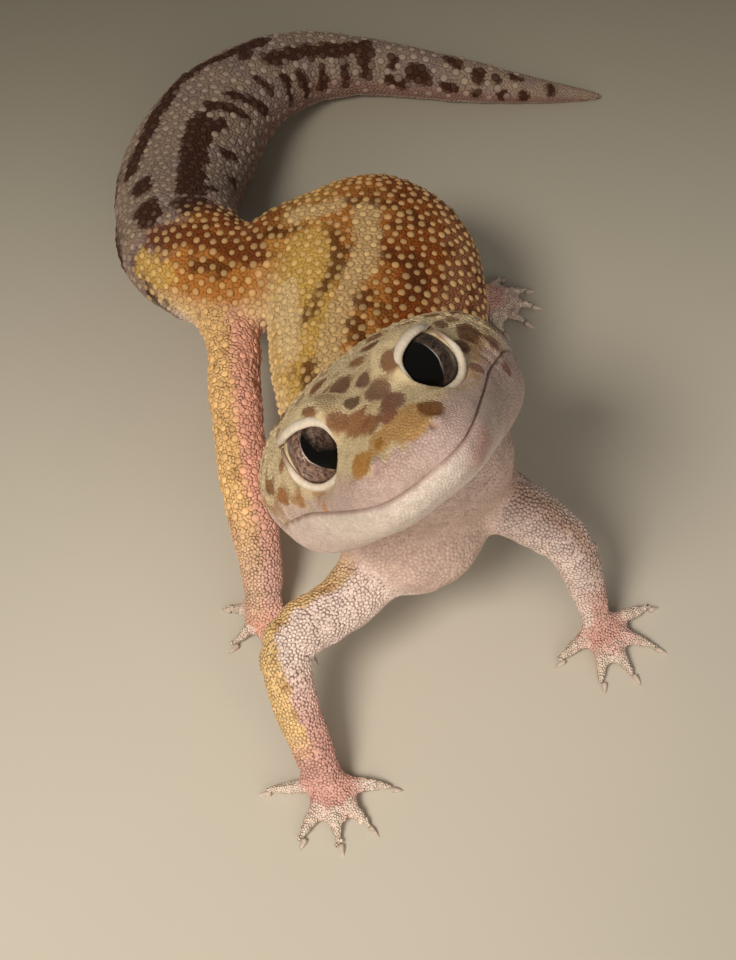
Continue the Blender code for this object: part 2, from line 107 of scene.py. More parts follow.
# The animal's lines in millimetres: x, y, z, half width and half height.
bodyLines = {
    "trunk": ((0.6, 9.5, 29.4, 8.6, 6.0), (1.7, 9.5, 25.4, 9.6, 6.5), (2.9, 11, 20.8, 10.2, 7.4),
              (3.5, 15.2, 17.4, 9.2, 7.4), (1.9, 20.6, 16.2, 9.7, 7.4), (1.2, 26.4, 15.8, 10.3, 7.5),
              (1.5, 32.4, 15.7, 10.9, 7.7), (1.7, 38.2, 15.7, 11, 7.8), (1.5, 43.4, 15.5, 10, 7.4),
              (1.1, 47.8, 15.2, 7.4, 6)),
    "rear": ((3, 42, 15.3, 8.2, 6.6), (-1.2, 42.6, 15.2, 8.6, 6.9), (-5.4, 42.8, 14.6, 7.3, 6.2),
             (-10.6, 42, 13.8, 5.8, 5.4), (-15.2, 44.6, 13.2, 6.3, 5.7), (-18.2, 49.8, 12, 6.8, 5.7),
             (-18.9, 56, 10, 6.7, 5.5), (-18.9, 62.5, 7.4, 7.4, 6), (-17.6, 69.5, 6.1, 7.8, 6.4),
             (-13.6, 78.5, 5.4, 7, 5.8), (-6.2, 85.3, 4.3, 5.6, 4.7), (2.7, 86.6, 3.1, 4.1, 3.5),
             (14.3, 83.6, 2.3, 3, 2.7), (20.1, 82.5, 1.6, 2.2, 2), (25.9, 81.5, 1, 1.3, 1.3),
             (30.8, 81, 0.5, 0.5, 0.55)),
    "armRight": ((2.4, 8.6, 13.6, 3.6, 3.6), (-3.4, 2.8, 11.6, 3, 3), (-8.8, -0.6, 11, 2.7, 2.7),
                 (-8.6, -4.4, 7.4, 2.4, 2.4), (-7, -8.4, 3.6, 2.1, 2.1), (-6.4, -9.4, 2, 1.9, 1.9)),
    "armLeft": ((5.5, 13, 16, 3.6, 3.6), (12, 9.8, 15.3, 3.2, 3.2), (17.2, 7.4, 12, 2.6, 2.6),
                (18.8, 6.2, 7.8, 2.1, 2.1), (19.8, 5.6, 3.8, 1.7, 1.7), (20.1, 5.3, 2, 1.7, 1.7)),
    "legRight": ((-15, 43.6, 12.8, 4, 4), (-13, 36, 12.4, 3, 3), (-12.9, 28, 11.4, 2.8, 2.8),
                 (-12.4, 20.6, 8.6, 2.7, 2.7), (-11.4, 13.4, 4.8, 2.4, 2.4), (-11.4, 9.8, 2, 2, 2)),
    "legLeft": ((-15, 47.6, 11, 3.9, 3.9), (-8.4, 51.2, 6.8, 2.9, 2.9), (-0.8, 52.6, 6.2, 2.7, 2.7),
                (5.8, 51.6, 4.6, 2.3, 2.3), (11.2, 49.4, 2.9, 1.9, 1.9), (12.6, 48.8, 1.9, 1.8, 1.8)),
}
lineSteps = 6  # samples from one row to the next
lineBlend = 9  # how sharply one part's markings end at the next

# Feet: middle of the palm, its radius, toe headings in degrees, and toe lengths.
feet = {
    "handRight": ((-6.1, -9.9), 2.1, (-2, -50, -84, -120, 176), (5.2, 4.9, 5.2, 5.1, 5.4)),
    "handLeft": ((20.3, 4.9), 1.9, (26, -22, -62, -94, -146), (5.4, 5.2, 5.2, 5.2, 4.4)),
    "footRight": ((-11.4, 9.2), 2.0, (-12, -48, -84, -142, 154), (4.6, 5.6, 5.6, 3.6, 3.8)),
    "footLeft": ((13.4, 48.7), 1.9, (-66, -34, -6, 20, 58), (4.2, 4.8, 5.0, 4.8, 4.0)),
}
toeLook = {"palmHeight": 1.3, "height": 1.0, "width": 0.95, "from": 0.2, "to": 1.15, "steps": 12}

# The head's middle line in its own axes: distance forward, height and half width.
headLine = ((10.5, -4.4, 3.6), (8.4, -4.1, 5.0), (5.6, -4.0, 6.2), (2.4, -4.0, 7.2), (-1.2, -4.2, 8.2),
            (-5, -4.2, 9.4), (-9, -4.4, 10.4), (-12.6, -4.8, 10.6), (-15.6, -5, 9.8))
# The mouth from the lips' middle back to its corner: distance forward and height.
mouthLine = ((14, -4.9), (11.2, -4.4), (8, -3.85), (3, -3.8), (-1, -3.75), (-4, -4.05), (-7, -4.4),
             (-9.4, -5.2))
earPlace = (-14.2, 11.6, -4.6)
nostrilPlace = (10.4, 2.7, -1.9)


def unitRows(rows):
    return rows / np.linalg.norm(rows, axis=1)[:, None]


def curvePoint(rows, t):
    # On the smooth curve through four rows, from the second to the third.
    a, b, c, d = rows
    return 0.5 * (2 * b + (c - a) * t + (2 * a - 5 * b + 4 * c - d) * t ** 2
                  + (3 * b - a - 3 * c + d) * t ** 3)


def alongRows(rows, steps):
    # Rows on a smooth curve through the table's rows.
    rows = np.array(rows, dtype=float)
    made = []
    for k in range((len(rows) - 1) * steps + 1):
        step = min(k // steps, len(rows) - 2)
        near = [rows[min(max(step + j, 0), len(rows) - 1)] for j in (-1, 0, 1, 2)]
        made.append(curvePoint(near, k / steps - step))
    return np.array(made)


def makeLines():
    # Each line's samples: middle, width, place along it, the way it runs, its left and its upper side.
    lines = {}
    for name, rows in bodyLines.items():
        made = alongRows(rows, lineSteps)
        way = unitRows(np.gradient(made[:, :3], axis=0))
        back = np.array((0, 0.75, 0.65)) if name == "trunk" else np.array((0, 0, 1.0))
        up = np.tile(back, (len(made), 1))
        if name == "trunk":
            lean = np.clip(np.arange(len(made)) / lineSteps / 3, 0, 1)[:, None]
            up = up * (1 - lean) + np.array((0, 0, 1.0)) * lean
        up = unitRows(up - way * (up * way).sum(1)[:, None])
        lines[name] = {"middle": made[:, :3], "width": made[:, 3], "height": made[:, 4],
                       "place": np.arange(len(made)) / lineSteps, "left": np.cross(way, up), "up": up}
    made = alongRows(headLine, lineSteps)
    middle = fromHead(np.stack([made[:, 0], made[:, 0] * 0, made[:, 1]], 1))
    lines["head"] = {"middle": middle, "width": made[:, 2], "height": made[:, 2], "place": made[:, 0],
                     "left": np.tile(headAxes[1], (len(made), 1)), "up": np.tile(headAxes[2], (len(made), 1))}
    for name, (palm, radius, headings, lengths) in feet.items():
        middles, widths, places = [(*palm, toeLook["palmHeight"])], [radius], [0.0]
        for heading, length in zip(headings, lengths):
            turn = math.radians(heading)
            for share in np.linspace(toeLook["from"], toeLook["to"], toeLook["steps"]):
                middles.append((palm[0] + math.cos(turn) * length * share,
                                palm[1] + math.sin(turn) * length * share, toeLook["height"]))
                widths.append(toeLook["width"])
                places.append(share)
        middles = np.array(middles)
        up = np.tile((0, 0, 1.0), (len(middles), 1))
        lines[name] = {"middle": middles, "width": np.array(widths), "height": np.array(widths),
                       "place": np.array(places), "left": np.tile((1.0, 0, 0), (len(middles), 1)), "up": up}
    return lines


lines = makeLines()
mouthCurve = alongRows(mouthLine, 4)


def placesOf(points):
    # For table points: how near each line is, in its own widths, the place along it, and the angle
    # round it in degrees from its upper side, with its left side positive.
    found = {}
    for name, line in lines.items():
        apart = (points ** 2).sum(1)[:, None] + (line["middle"] ** 2).sum(1) - 2 * points @ line["middle"].T
        apart = np.sqrt(np.maximum(apart, 0))
        score = apart / line["width"]
        nearest = score.argmin(1)
        offset = points - line["middle"][nearest]
        left = (offset * line["left"][nearest]).sum(1)
        up = (offset * line["up"][nearest]).sum(1)
        found[name] = {"score": score[np.arange(len(points)), nearest], "place": line["place"][nearest],
                       "angle": np.degrees(np.arctan2(left, up))}
    lowest = np.min([one["score"] for one in found.values()], axis=0)
    shares = {name: np.exp(-(one["score"] - lowest) * lineBlend) for name, one in found.items()}
    total = sum(shares.values())
    for name in found:
        found[name]["share"] = shares[name] / total
    return found


# Numbers for patterns.
def ramp(value, low, high):
    t = np.clip((value - low) / (high - low), 0, 1)
    return t * t * (3 - 2 * t)


def bell(value, middle, width):
    return np.exp(-((value - middle) / width) ** 2)


def gridValue(cells, seed):
    h = (cells[..., 0] * 73856093) ^ (cells[..., 1] * 19349663) ^ (cells[..., 2] * 83492791)
    h = (h ^ (seed * 668265263)) & 0x7fffffff
    h = ((h ^ (h >> 13)) * 1274126177) & 0x7fffffff
    h = ((h ^ (h >> 11)) * 265443577) & 0x7fffffff
    return ((h >> 7) & 0xffff) / 0xffff


def softNoise(points, size, seed):
    p = points / size
    base = np.floor(p).astype(np.int64)
    f = p - base
    f = f * f * (3 - 2 * f)
    total = np.zeros(len(points))
    for corner in product((0, 1), repeat=3):
        weight = np.prod(np.where(corner, f, 1 - f), axis=1)
        total += weight * gridValue(base + np.array(corner), seed)
    return total


def cellPattern(points, size, seed):
    # Distance to the nearest cell's middle and to the second nearest, in cells, and that cell's own number.
    p = points / size
    base = np.floor(p).astype(np.int64)
    first = np.full(len(points), 9.0)
    second = np.full(len(points), 9.0)
    number = np.zeros(len(points))
    for corner in product((-1, 0, 1), repeat=3):
        cell = base + np.array(corner)
        spot = cell + np.stack([gridValue(cell, seed + k) for k in (1, 2, 3)], 1)
        apart = np.linalg.norm(p - spot, axis=1)
        closer = apart < first
        second = np.where(closer, first, np.minimum(second, apart))
        number = np.where(closer, gridValue(cell, seed + 4), number)
        first = np.where(closer, apart, first)
    return first, second, number


def paint(code):
    levels = np.array([int(code[k:k + 2], 16) / 255 for k in (1, 3, 5)])
    return np.where(levels < 0.04045, levels / 12.92, ((levels + 0.055) / 1.055) ** 2.4)


def paints(**codes):
    return {name: paint(code) for name, code in codes.items()}


def mixed(below, above, share):
    return below + (above - below) * np.asarray(share)[..., None]


# Working on meshes.
def deselectAll():
    for obj in list(bpy.context.selected_objects):
        obj.select_set(False)


def workOn(obj):
    deselectAll()
    obj.select_set(True)
    bpy.context.view_layer.objects.active = obj


def joinAll(pieces):
    deselectAll()
    for piece in pieces:
        piece.select_set(True)
    bpy.context.view_layer.objects.active = pieces[0]
    bpy.ops.object.join()
    return pieces[0]


def faceOutwards(obj):
    workOn(obj)
    bpy.ops.object.mode_set(mode="EDIT")
    bpy.ops.mesh.select_all(action="SELECT")
    bpy.ops.mesh.normals_make_consistent(inside=False)
    bpy.ops.object.mode_set(mode="OBJECT")


def readPoints(obj):
    points = np.empty(len(obj.data.vertices) * 3)
    obj.data.vertices.foreach_get("co", points)
    return points.reshape(-1, 3)


def writePoints(obj, points):
    obj.data.vertices.foreach_set("co", points.ravel())
    obj.data.update()


def readNormals(obj):
    normals = np.empty(len(obj.data.vertices) * 3)
    obj.data.vertex_normals.foreach_get("vector", normals)
    return normals.reshape(-1, 3)


def applyModifier(obj, kind, **settings):
    modifier = obj.modifiers.new(kind.lower(), kind)
    for name, value in settings.items():
        setattr(modifier, name, value)
    workOn(obj)
    bpy.ops.object.modifier_apply(modifier=modifier.name)


def selectFaces(obj, wanted):
    # Only the wanted faces stay selected.
    mesh = obj.data
    mesh.polygons.foreach_set("select", np.asarray(wanted, dtype=bool))
    mesh.edges.foreach_set("select", np.zeros(len(mesh.edges), dtype=bool))
    mesh.vertices.foreach_set("select", np.zeros(len(mesh.vertices), dtype=bool))
    mesh.update()


def faceMiddles(obj):
    middles = np.empty(len(obj.data.polygons) * 3)
    obj.data.polygons.foreach_get("center", middles)
    return middles.reshape(-1, 3)


def setWeights(obj, name, weights, levels=20):
    # A vertex group with the weights rounded to so many levels.
    group = obj.vertex_groups.new(name=name)
    rounded = np.round(weights * levels).astype(int)
    for level in range(1, levels + 1):
        chosen = np.nonzero(rounded == level)[0].tolist()
        if chosen:
            group.add(chosen, level / levels, "REPLACE")
    return group.name


def eyeMiddles():
    out = np.array((eyeShape["forward"], eyeShape["out"], eyeShape["up"]))
    return fromHead(np.array((out, out * (1, -1, 1))))


def eyeDistance(points):
    return np.min([np.linalg.norm(points - middle, axis=1) for middle in eyeMiddles()], axis=0)


# The eyes' frames and lids.
def eyeFrame(side):
    # Across towards the nose, up, and the gaze, as rows.
    gaze = np.array(eyeShape["gaze"]) * (1, side, 1)
    gaze = gaze @ headAxes
    gaze /= np.linalg.norm(gaze)
    up = headAxes[2] - gaze * (headAxes[2] @ gaze)
    up /= np.linalg.norm(up)
    nose = np.cross(up, gaze)
    if nose @ headAxes[0] < 0:
        nose = -nose
    return np.array([nose, up, gaze])


# The opening between the lids, drawn on the eye: towards the nose, up and the rim's half width, in
# millimetres, from the pointed rear corner over the brow.
rimLook = {"path": ((-3.3, 1.6, 0.05), (-2.6, 1.9, 0.28), (-1.8, 2.12, 0.4), (-0.8, 2.28, 0.43),
                    (0.4, 2.38, 0.46), (1.7, 2.12, 0.42), (2.52, 1.42, 0.32), (2.92, 0.3, 0.27),
                    (2.86, -0.9, 0.22), (2.36, -1.85, 0.22), (1.15, -2.62, 0.33), (-0.3, -2.78, 0.4),
                    (-1.5, -2.26, 0.46),
                    (-2.02, -1.2, 0.34), (-1.92, -0.1, 0.2), (-2.02, 0.7, 0.13), (-2.4, 1.2, 0.1),
                    (-2.85, 1.44, 0.08)),
           "reach": 3.53, "rise": 0.5, "thick": 0.33, "full": 0.42, "sections": 240, "sides": 14,
           "scales": 50}
# The lids under the rims: cushions of skin, a little outside the opening.
lidLook = {"reach": 3.32, "beside": 0.6, "half": 1.15, "thick": 0.55}


def closedCurve(rows, count):
    # Rows on a smooth closed curve through the table's rows.
    rows = np.array(rows, dtype=float)
    made = []
    for k in range(count):
        place = k / count * len(rows)
        step = int(place)
        near = [rows[(step + j) % len(rows)] for j in (-1, 0, 1, 2)]
        made.append(curvePoint(near, place - step))
    return np.array(made)


def gridFaces(rows, columns):
    # Faces of a grid that closes on itself both ways.
    faces = []
    for row in range(rows):
        for column in range(columns):
            a = row * columns + column
            b = row * columns + (column + 1) % columns
            c = (row + 1) % rows * columns + (column + 1) % columns
            d = (row + 1) % rows * columns + column
            faces.append((a, d, c, b))
    return faces


def ringAlong(side, beside, half, reach, thick, ripple):
    # A closed cushion along the lids' opening; without a half width of its own it takes the path's.
    rows = closedCurve(rimLook["path"], rimLook["sections"])
    path, width = rows[:, :2], rows[:, 2]
    line = np.column_stack([path, np.sqrt(np.maximum(reach ** 2 - (path ** 2).sum(1), 0.3))])
    way = unitRows(np.roll(line, -1, 0) - np.roll(line, 1, 0))
    across = np.cross(line / reach, way)
    across *= np.sign((across[:, :2] * path).sum(1).mean())
    out = unitRows(line + across * (beside * (1 + width))[:, None])
    rise = 0 if half else rimLook["rise"] * ramp(np.hypot(*path.T), 2.95, 3.4)
    line = out * (reach + rise * np.ones(len(path)))[:, None]
    turns = np.arange(rimLook["sides"]) / rimLook["sides"] * 2 * math.pi
    reachOut = (half if half else width) * np.ones(len(path)) * ripple
    if not half:
        thick = thick * np.clip(0.2 + width / rimLook["full"], 0.3, 1)
    beyond = (np.cos(turns)[None, :] * reachOut[:, None])[..., None]
    above = (np.sin(turns)[None, :] * (thick * ripple)[:, None])[..., None]
    rings = line[:, None, :] + across[:, None, :] * beyond + out[:, None, :] * above
    middle = eyeMiddles()[0 if side > 0 else 1]
    mesh = bpy.data.meshes.new("ring")
    points = middle + rings.reshape(-1, 3) @ eyeFrame(side)
    mesh.from_pydata([tuple(p) for p in toScene(points)], [], gridFaces(len(path), len(turns)))
    ring = bpy.data.objects.new("ring", mesh)
    bpy.context.collection.objects.link(ring)
    faceOutwards(ring)
    return ring


def lidDistance(points):
    # How far table points lie outside the rims' outer edges, as seen from the eyes' middles.
    best = np.full(len(points), 99.0)
    rows = closedCurve(rimLook["path"], rimLook["sections"])
    turns = np.arctan2(rows[:, 1], rows[:, 0])
    order = np.argsort(turns)
    edge = np.hypot(rows[:, 0], rows[:, 1]) + rows[:, 2]
    for side, middle in zip((1, -1), eyeMiddles()):
        local = (points - middle) @ eyeFrame(side).T
        away = np.linalg.norm(local, axis=1)
        flat = local[:, :2] * (rimLook["reach"] / np.maximum(away, 0.1))[:, None]
        outside = np.hypot(flat[:, 0], flat[:, 1]) - np.interp(
            np.arctan2(flat[:, 1], flat[:, 0]), turns[order], edge[order], period=2 * math.pi)
        here = (local[:, 2] > 0) & (away < 6.5)
        best = np.where(here, np.minimum(best, outside), best)
    return best


# The skin.
skinLook = {
    "swell": 0.2 * mm, "voxel": 0.3 * mm, "smoothings": 34, "lastSmoothings": 2, "inset": 0.36,
    "triangles": 118000, "fineReach": (1.3, 0.65), "plainLowest": 0.08, "lowest": 0.06,
    "mouthDepth": 0.25, "mouthWidth": 0.12, "mouthFade": 2.4, "lipHeight": 0.07, "lipPlace": 0.6,
    "lipWidth": 0.4,
    "nostrilDepth": 0.34, "nostrilRadius": 0.3, "nostrilRim": 0.05,
    "foldDepth": 0.22, "jointDepth": 0.13, "toeDepth": 0.1, "ringDepth": 0.1, "streakDepth": 0.14,
    "uneven": 0.16,
}


def joinFlesh():
    # Copies of the flesh and the lids' cushions as one mesh.
    pieces = []
    for name, node in frame["nodes"].items():
        if not name.startswith("eye_"):
            piece = bpy.data.objects.new("flesh", node.data.copy())
            bpy.context.collection.objects.link(piece)
            pieces.append(piece)
    for side in (1, -1):
        pieces.append(ringAlong(side, lidLook["beside"], lidLook["half"], lidLook["reach"],
                                lidLook["thick"], np.ones(rimLook["sections"])))
    flesh = joinAll(pieces)
    flesh.data.materials.clear()
    bpy.ops.object.mode_set(mode="EDIT")
    bpy.ops.mesh.select_all(action="SELECT")
    bpy.ops.mesh.remove_doubles(threshold=0.001 * mm)
    bpy.ops.object.mode_set(mode="OBJECT")
    return flesh


def keepLargest(obj):
    # The outside only: what is linked to the highest point.
    points = readPoints(obj)
    chosen = np.zeros(len(points), dtype=bool)
    chosen[points[:, 2].argmax()] = True
    selectFaces(obj, np.zeros(len(obj.data.polygons), dtype=bool))
    obj.data.vertices.foreach_set("select", chosen)
    workOn(obj)
    bpy.ops.object.mode_set(mode="EDIT")
    bpy.ops.mesh.select_mode(type="VERT")
    bpy.ops.mesh.select_linked()
    bpy.ops.mesh.select_all(action="INVERT")
    bpy.ops.mesh.delete(type="VERT")
    bpy.ops.object.mode_set(mode="OBJECT")


def lineDistance(across, along, rows):
    # Distance from a bent line in a plane, its sign telling the side, where along the line that is,
    # and the line's length.
    rows = np.array(rows, dtype=float)
    best = np.full(len(across), 1e9)
    signed = np.zeros(len(across))
    place = np.zeros(len(across))
    start = 0.0
    for a, b in zip(rows, rows[1:]):
        way = b - a
        length = np.linalg.norm(way)
        way = way / length
        x, y = across - a[0], along - a[1]
        t = np.clip(x * way[0] + y * way[1], 0, length)
        away = np.hypot(x - way[0] * t, y - way[1] * t)
        side = np.sign(way[1] * x - way[0] * y)
        closer = away < best
        best = np.where(closer, away, best)
        signed = np.where(closer, away * side, signed)
        place = np.where(closer, start + t, place)
        start += length
    return signed, place, start


def mouthReach(points):
    # How far below the mouth line each table point lies, and how much of the line is there.
    head = toHead(points)
    apart, place, length = lineDistance(head[:, 0], head[:, 2], mouthCurve)
    apart = -apart
    near = ramp(place, length, length - skinLook["mouthFade"])
    near *= eyeDistance(points) > eyeShape["radius"] + 0.95
    near *= (head[:, 0] > -11) & (headDistance(points) < 24)
    return apart, near


def subdivideWhere(obj, wanted):
    selectFaces(obj, wanted)
    workOn(obj)
    bpy.ops.object.mode_set(mode="EDIT")
    bpy.ops.mesh.select_mode(type="FACE")
    bpy.ops.mesh.subdivide(number_cuts=1)
    bpy.ops.mesh.select_all(action="SELECT")
    bpy.ops.mesh.quads_convert_to_tris(quad_method="BEAUTY", ngon_method="BEAUTY")
    bpy.ops.object.mode_set(mode="OBJECT")


def calmness(points):
    # How much a place may be smoothed: trunk and tail freely, toes hardly.
    found = placesOf(points)
    calm = np.zeros(len(points))
    freedom = {"trunk": 1.0, "rear": 1.0, "head": 0.55, "armRight": 0.6, "armLeft": 0.6, "legRight": 0.6,
               "legLeft": 0.6, "handRight": 0.2, "handLeft": 0.2, "footRight": 0.2, "footLeft": 0.2}
    for name, freely in freedom.items():
        calm += found[name]["share"] * freely
    tail = found["rear"]["share"] * ramp(found["rear"]["place"], 10.5, 14)
    calm *= 1 - 0.8 * tail
    nape = ramp(toHead(points)[:, 0], -7, -10) * (headDistance(points) < 22)
    calm = np.maximum(calm, nape * 0.95)
    lids = ramp(eyeDistance(points), 5.6, 4.6)
    return np.clip(calm * (1 - 0.75 * lids), 0, 1)


def foldValley(phase, sharp):
    # 0 to 1: narrow valleys once in each whole number.
    away = np.abs(phase - np.round(phase))
    return np.exp(-(away / sharp) ** 2)


def makeSkin():
    # The flesh swollen, remeshed, smoothed, set back for the scales and made finer at mouth and nose.
    skin = joinFlesh()
    skin.name = skin.data.name = "skin"
    applyModifier(skin, "DISPLACE", strength=skinLook["swell"], mid_level=0.0)
    applyModifier(skin, "REMESH", mode="VOXEL", voxel_size=skinLook["voxel"])
    keepLargest(skin)
    group = setWeights(skin, "calm", calmness(toTable(readPoints(skin))))
    applyModifier(skin, "SMOOTH", factor=0.5, iterations=skinLook["smoothings"], vertex_group=group)
    applyModifier(skin, "SMOOTH", factor=0.5, iterations=skinLook["lastSmoothings"])
    skin.vertex_groups.clear()
    points = toTable(readPoints(skin))
    points -= readNormals(skin) * skinLook["inset"]
    points[:, 2] = np.maximum(points[:, 2], skinLook["plainLowest"])
    writePoints(skin, toScene(points))
    share = skinLook["triangles"] / (2 * len(skin.data.polygons))
    applyModifier(skin, "DECIMATE", ratio=share, use_collapse_triangulate=True)
    print("skin:", len(skin.data.polygons), "faces before its fine parts")
    for reach in skinLook["fineReach"]:
        middles = toTable(faceMiddles(skin))
        apart, near = mouthReach(middles)
        head = toHead(middles)
        nostril = np.linalg.norm(np.abs(head) * (1, 1, 0) + head * (0, 0, 1) - nostrilPlace, axis=1)
        subdivideWhere(skin, ((np.abs(apart) < reach) & (near > 0)) | (nostril < reach * 1.4))
    sculptSkin(skin)
    return skin


def sculptSkin(skin):
    # Mouth, nostrils, folds and rings pressed into the skin, and its living unevenness.
    points = toTable(readPoints(skin))
    normals = readNormals(skin)
    found = placesOf(points)
    head = toHead(points)
    raised = np.zeros(len(points))

    apart, near = mouthReach(points)
    raised -= skinLook["mouthDepth"] * bell(apart, 0, skinLook["mouthWidth"]) * near
    raised += skinLook["lipHeight"] * bell(np.abs(apart), skinLook["lipPlace"], skinLook["lipWidth"]) * near

    outward = (normals @ headAxes.T)[:, 0] > -0.2
    nostril = np.linalg.norm(onLeft(head) - nostrilPlace, axis=1)
    raised -= skinLook["nostrilDepth"] * bell(nostril, 0, skinLook["nostrilRadius"]) * outward
    raised += skinLook["nostrilRim"] * bell(nostril, 0.8, 0.3) * outward

    # Loose skin: folds across throat and neck, at the waist's inner side and at the limbs' joints.
    warp = softNoise(points, 3.0, 5) * 1.3
    neck = found["trunk"]["share"] * ramp(found["trunk"]["place"], 4.2, 2.6)
    raised -= skinLook["foldDepth"] * neck * foldValley(found["trunk"]["place"] * 1.9 + warp, 0.16)
    waist = found["rear"]["share"] * ramp(found["rear"]["place"], 5.6, 4.2)
    waist *= ramp(np.abs(found["rear"]["angle"] + 120), 110, 60)
    raised -= skinLook["foldDepth"] * 0.8 * waist * foldValley(found["rear"]["place"] * 1.6 + warp, 0.17)
    for name in ("armRight", "armLeft", "legRight", "legLeft"):
        bend = found[name]["share"] * (bell(found[name]["place"], 2, 0.7) + 0.5)
        raised -= skinLook["jointDepth"] * bend * foldValley(found[name]["place"] * 4.2 + warp * 1.4, 0.2)
    for name in feet:
        onToes = found[name]["share"] * ramp(found[name]["place"], 0.2, 0.4) * ramp(points[:, 2], 0.5, 1.2)
        raised -= skinLook["toeDepth"] * onToes * foldValley(found[name]["place"] * 6 + warp * 0.6, 0.2)
    tail = found["rear"]["share"] * ramp(found["rear"]["place"], 6.6, 7.6)
    rings = foldValley(found["rear"]["place"] * 2.4 + warp * 0.12, 0.13)
    raised -= skinLook["ringDepth"] * tail * rings * (1.3 - ramp(found["rear"]["place"], 11, 15))
    # Slight unevenness of living skin over muscle and fat.
    raised += skinLook["uneven"] * (softNoise(points, 2.4, 11) - 0.5) * (1 - found["head"]["share"] * 0.5)
    temple = found["head"]["share"] * ramp(head[:, 0], 1, -3) * ramp(np.abs(head[:, 1]), 6.5, 8.5)
    streak = foldValley(head[:, 0] * 0.55 + warp * 0.5, 0.16)
    raised -= skinLook["streakDepth"] * temple * streak * (head[:, 2] > -5)
    points += normals * raised[:, None]
    points[:, 2] = np.maximum(points[:, 2], skinLook["lowest"])
    writePoints(skin, toScene(points))
    skin.data.shade_smooth()
    print("skin:", len(skin.data.polygons), "faces")


skin = makeSkin()


# Markings, with some painted shade among them: the same for skin and scales.
headColours = paints(
    cream="#d6c097", net="#a37a50", brown="#7b523a", muzzle="#c3a99d", blush="#b1857b", jaw="#dccbbd",
    throat="#ccb5aa", templeCream="#d6bd96", templeBrown="#9a6c45", rim="#dccdb8", crease="#5a3a33",
    ear="#5c3527")
# Spots on the head in its axes: place, radius, how much longer it is along the head, and colour.
# A later spot lies over an earlier one.
headSpots = (
    ((6.7, -2.5, 0.0), 1.4, 1.0, "#d8c096"),
    ((8.9, 1.5, -0.6), 1.9, 1.0, "#bb8f57"), ((8.9, -1.2, -0.6), 1.1, 1.0, "#bf935a"),
    ((1.0, -2.4, 3.1), 0.8, 1.3, "#b39c76"), ((2.9, 1.2, 1.4), 0.98, 1.5, "#836049"),
    ((8.3, 3.5, -1.1), 0.92, 1.5, "#7c4f28"), ((2.4, 3.3, 2.5), 0.78, 1.3, "#7a5238"),
    ((0.0, 0.8, 2.2), 0.62, 2.2, "#735040"), ((-2.5, -0.9, 2.6), 0.95, 2.0, "#74503a"),
    # The first spot on the next line, dark grey-brown on the crown between the eyes, is a painted shadow of a
    # fold.
    ((1.9, -0.9, 1.7), 0.6, 1.4, "#6b5038"), ((4.6, -1.6, 0.8), 1.15, 1.4, "#9a6843"),
    ((3.0, -2.7, 1.5), 0.8, 1.3, "#8d6140"), ((6.4, -0.9, 0.4), 0.8, 1.4, "#91613f"),
    ((6.8, 0.5, 0.2), 0.75, 1.4, "#8a5b44"), ((5.2, 1.6, 0.5), 0.85, 1.6, "#81584a"),
    ((4.0, -0.4, 1.0), 0.4, 1.3, "#94674a"), ((5.6, 0.9, 0.5), 0.5, 1.4, "#8a5f4c"),
    ((9.0, -1.3, -0.6), 0.45, 1.4, "#a5702f"), ((8.6, -3.3, -1.1), 1.05, 1.2, "#b6803b"),
    ((1.8, -4.0, 3.2), 0.55, 1.6, "#83593a"), ((-5.2, 9.9, -1.0), 1.0, 1.7, "#6b4833"),
    ((-5.8, 11.0, -3.0), 0.75, 1.5, "#85604e"), ((-6.5, 8.6, 0.8), 0.5, 1.7, "#6d4c33"),
    ((-2.5, 8.6, -0.9), 0.8, 1.4, "#74513a"), ((-4.3, 10.6, -5.2), 0.7, 1.1, "#85564a"),
    ((0.1, 8.4, -2.6), 0.6, 1.3, "#8a6552"), ((-4.6, -10.0, -2.0), 0.6, 1.6, "#a06b3d"),
    ((-1.7, -9.0, -2.6), 0.5, 1.6, "#b07c4c"), ((2.7, -7.6, -3.3), 0.4, 1.3, "#c08f68"),
    ((-6.9, -10.7, -1.0), 0.6, 1.8, "#8a5c36"), ((-0.6, -9.2, -5.6), 0.45, 1.5, "#c4986c"),
    ((-8.6, -11.4, -4.4), 0.6, 1.5, "#9c6d45"), ((4.5, 0.1, 1.0), 0.62, 1.2, "#d2b88a"),
)

bodyColours = paints(
    cream="#dfc190", yellow="#cba254", gold="#b07234", net="#86451a", flank="#8e6045", brown="#5e3014",
    belly="#d8c0ae", chest="#c9ac9e", stripe="#ccac7a", root="#682e12", pearl="#e6c388")
tailColours = paints(
    pale="#917b69", lilac="#8a756b", plain="#8a6a5e", dark="#3b1a09", under="#bfa79a", pearl="#bfae9a")
limbColours = paints(
    yellow="#e6c088", spot="#b08056", cream="#ead2c5", red="#d7a495", gold="#eec183", salmon="#eaac95",
    pink="#e6c0b3", toe="#e3d3bf", brown="#a57a5c", dusk="#d8c1b6")
# Sizes of the patterns' cells in millimetres, and how strongly marks cover what lies below.
markLook = {"headCell": 2.5, "trunkCell": 2.2, "rearCell": 2.1, "limbCell": 1.9, "spot": 0.92,
            "bodyMark": 0.85, "tailMark": 0.93, "blotch": 0.14}
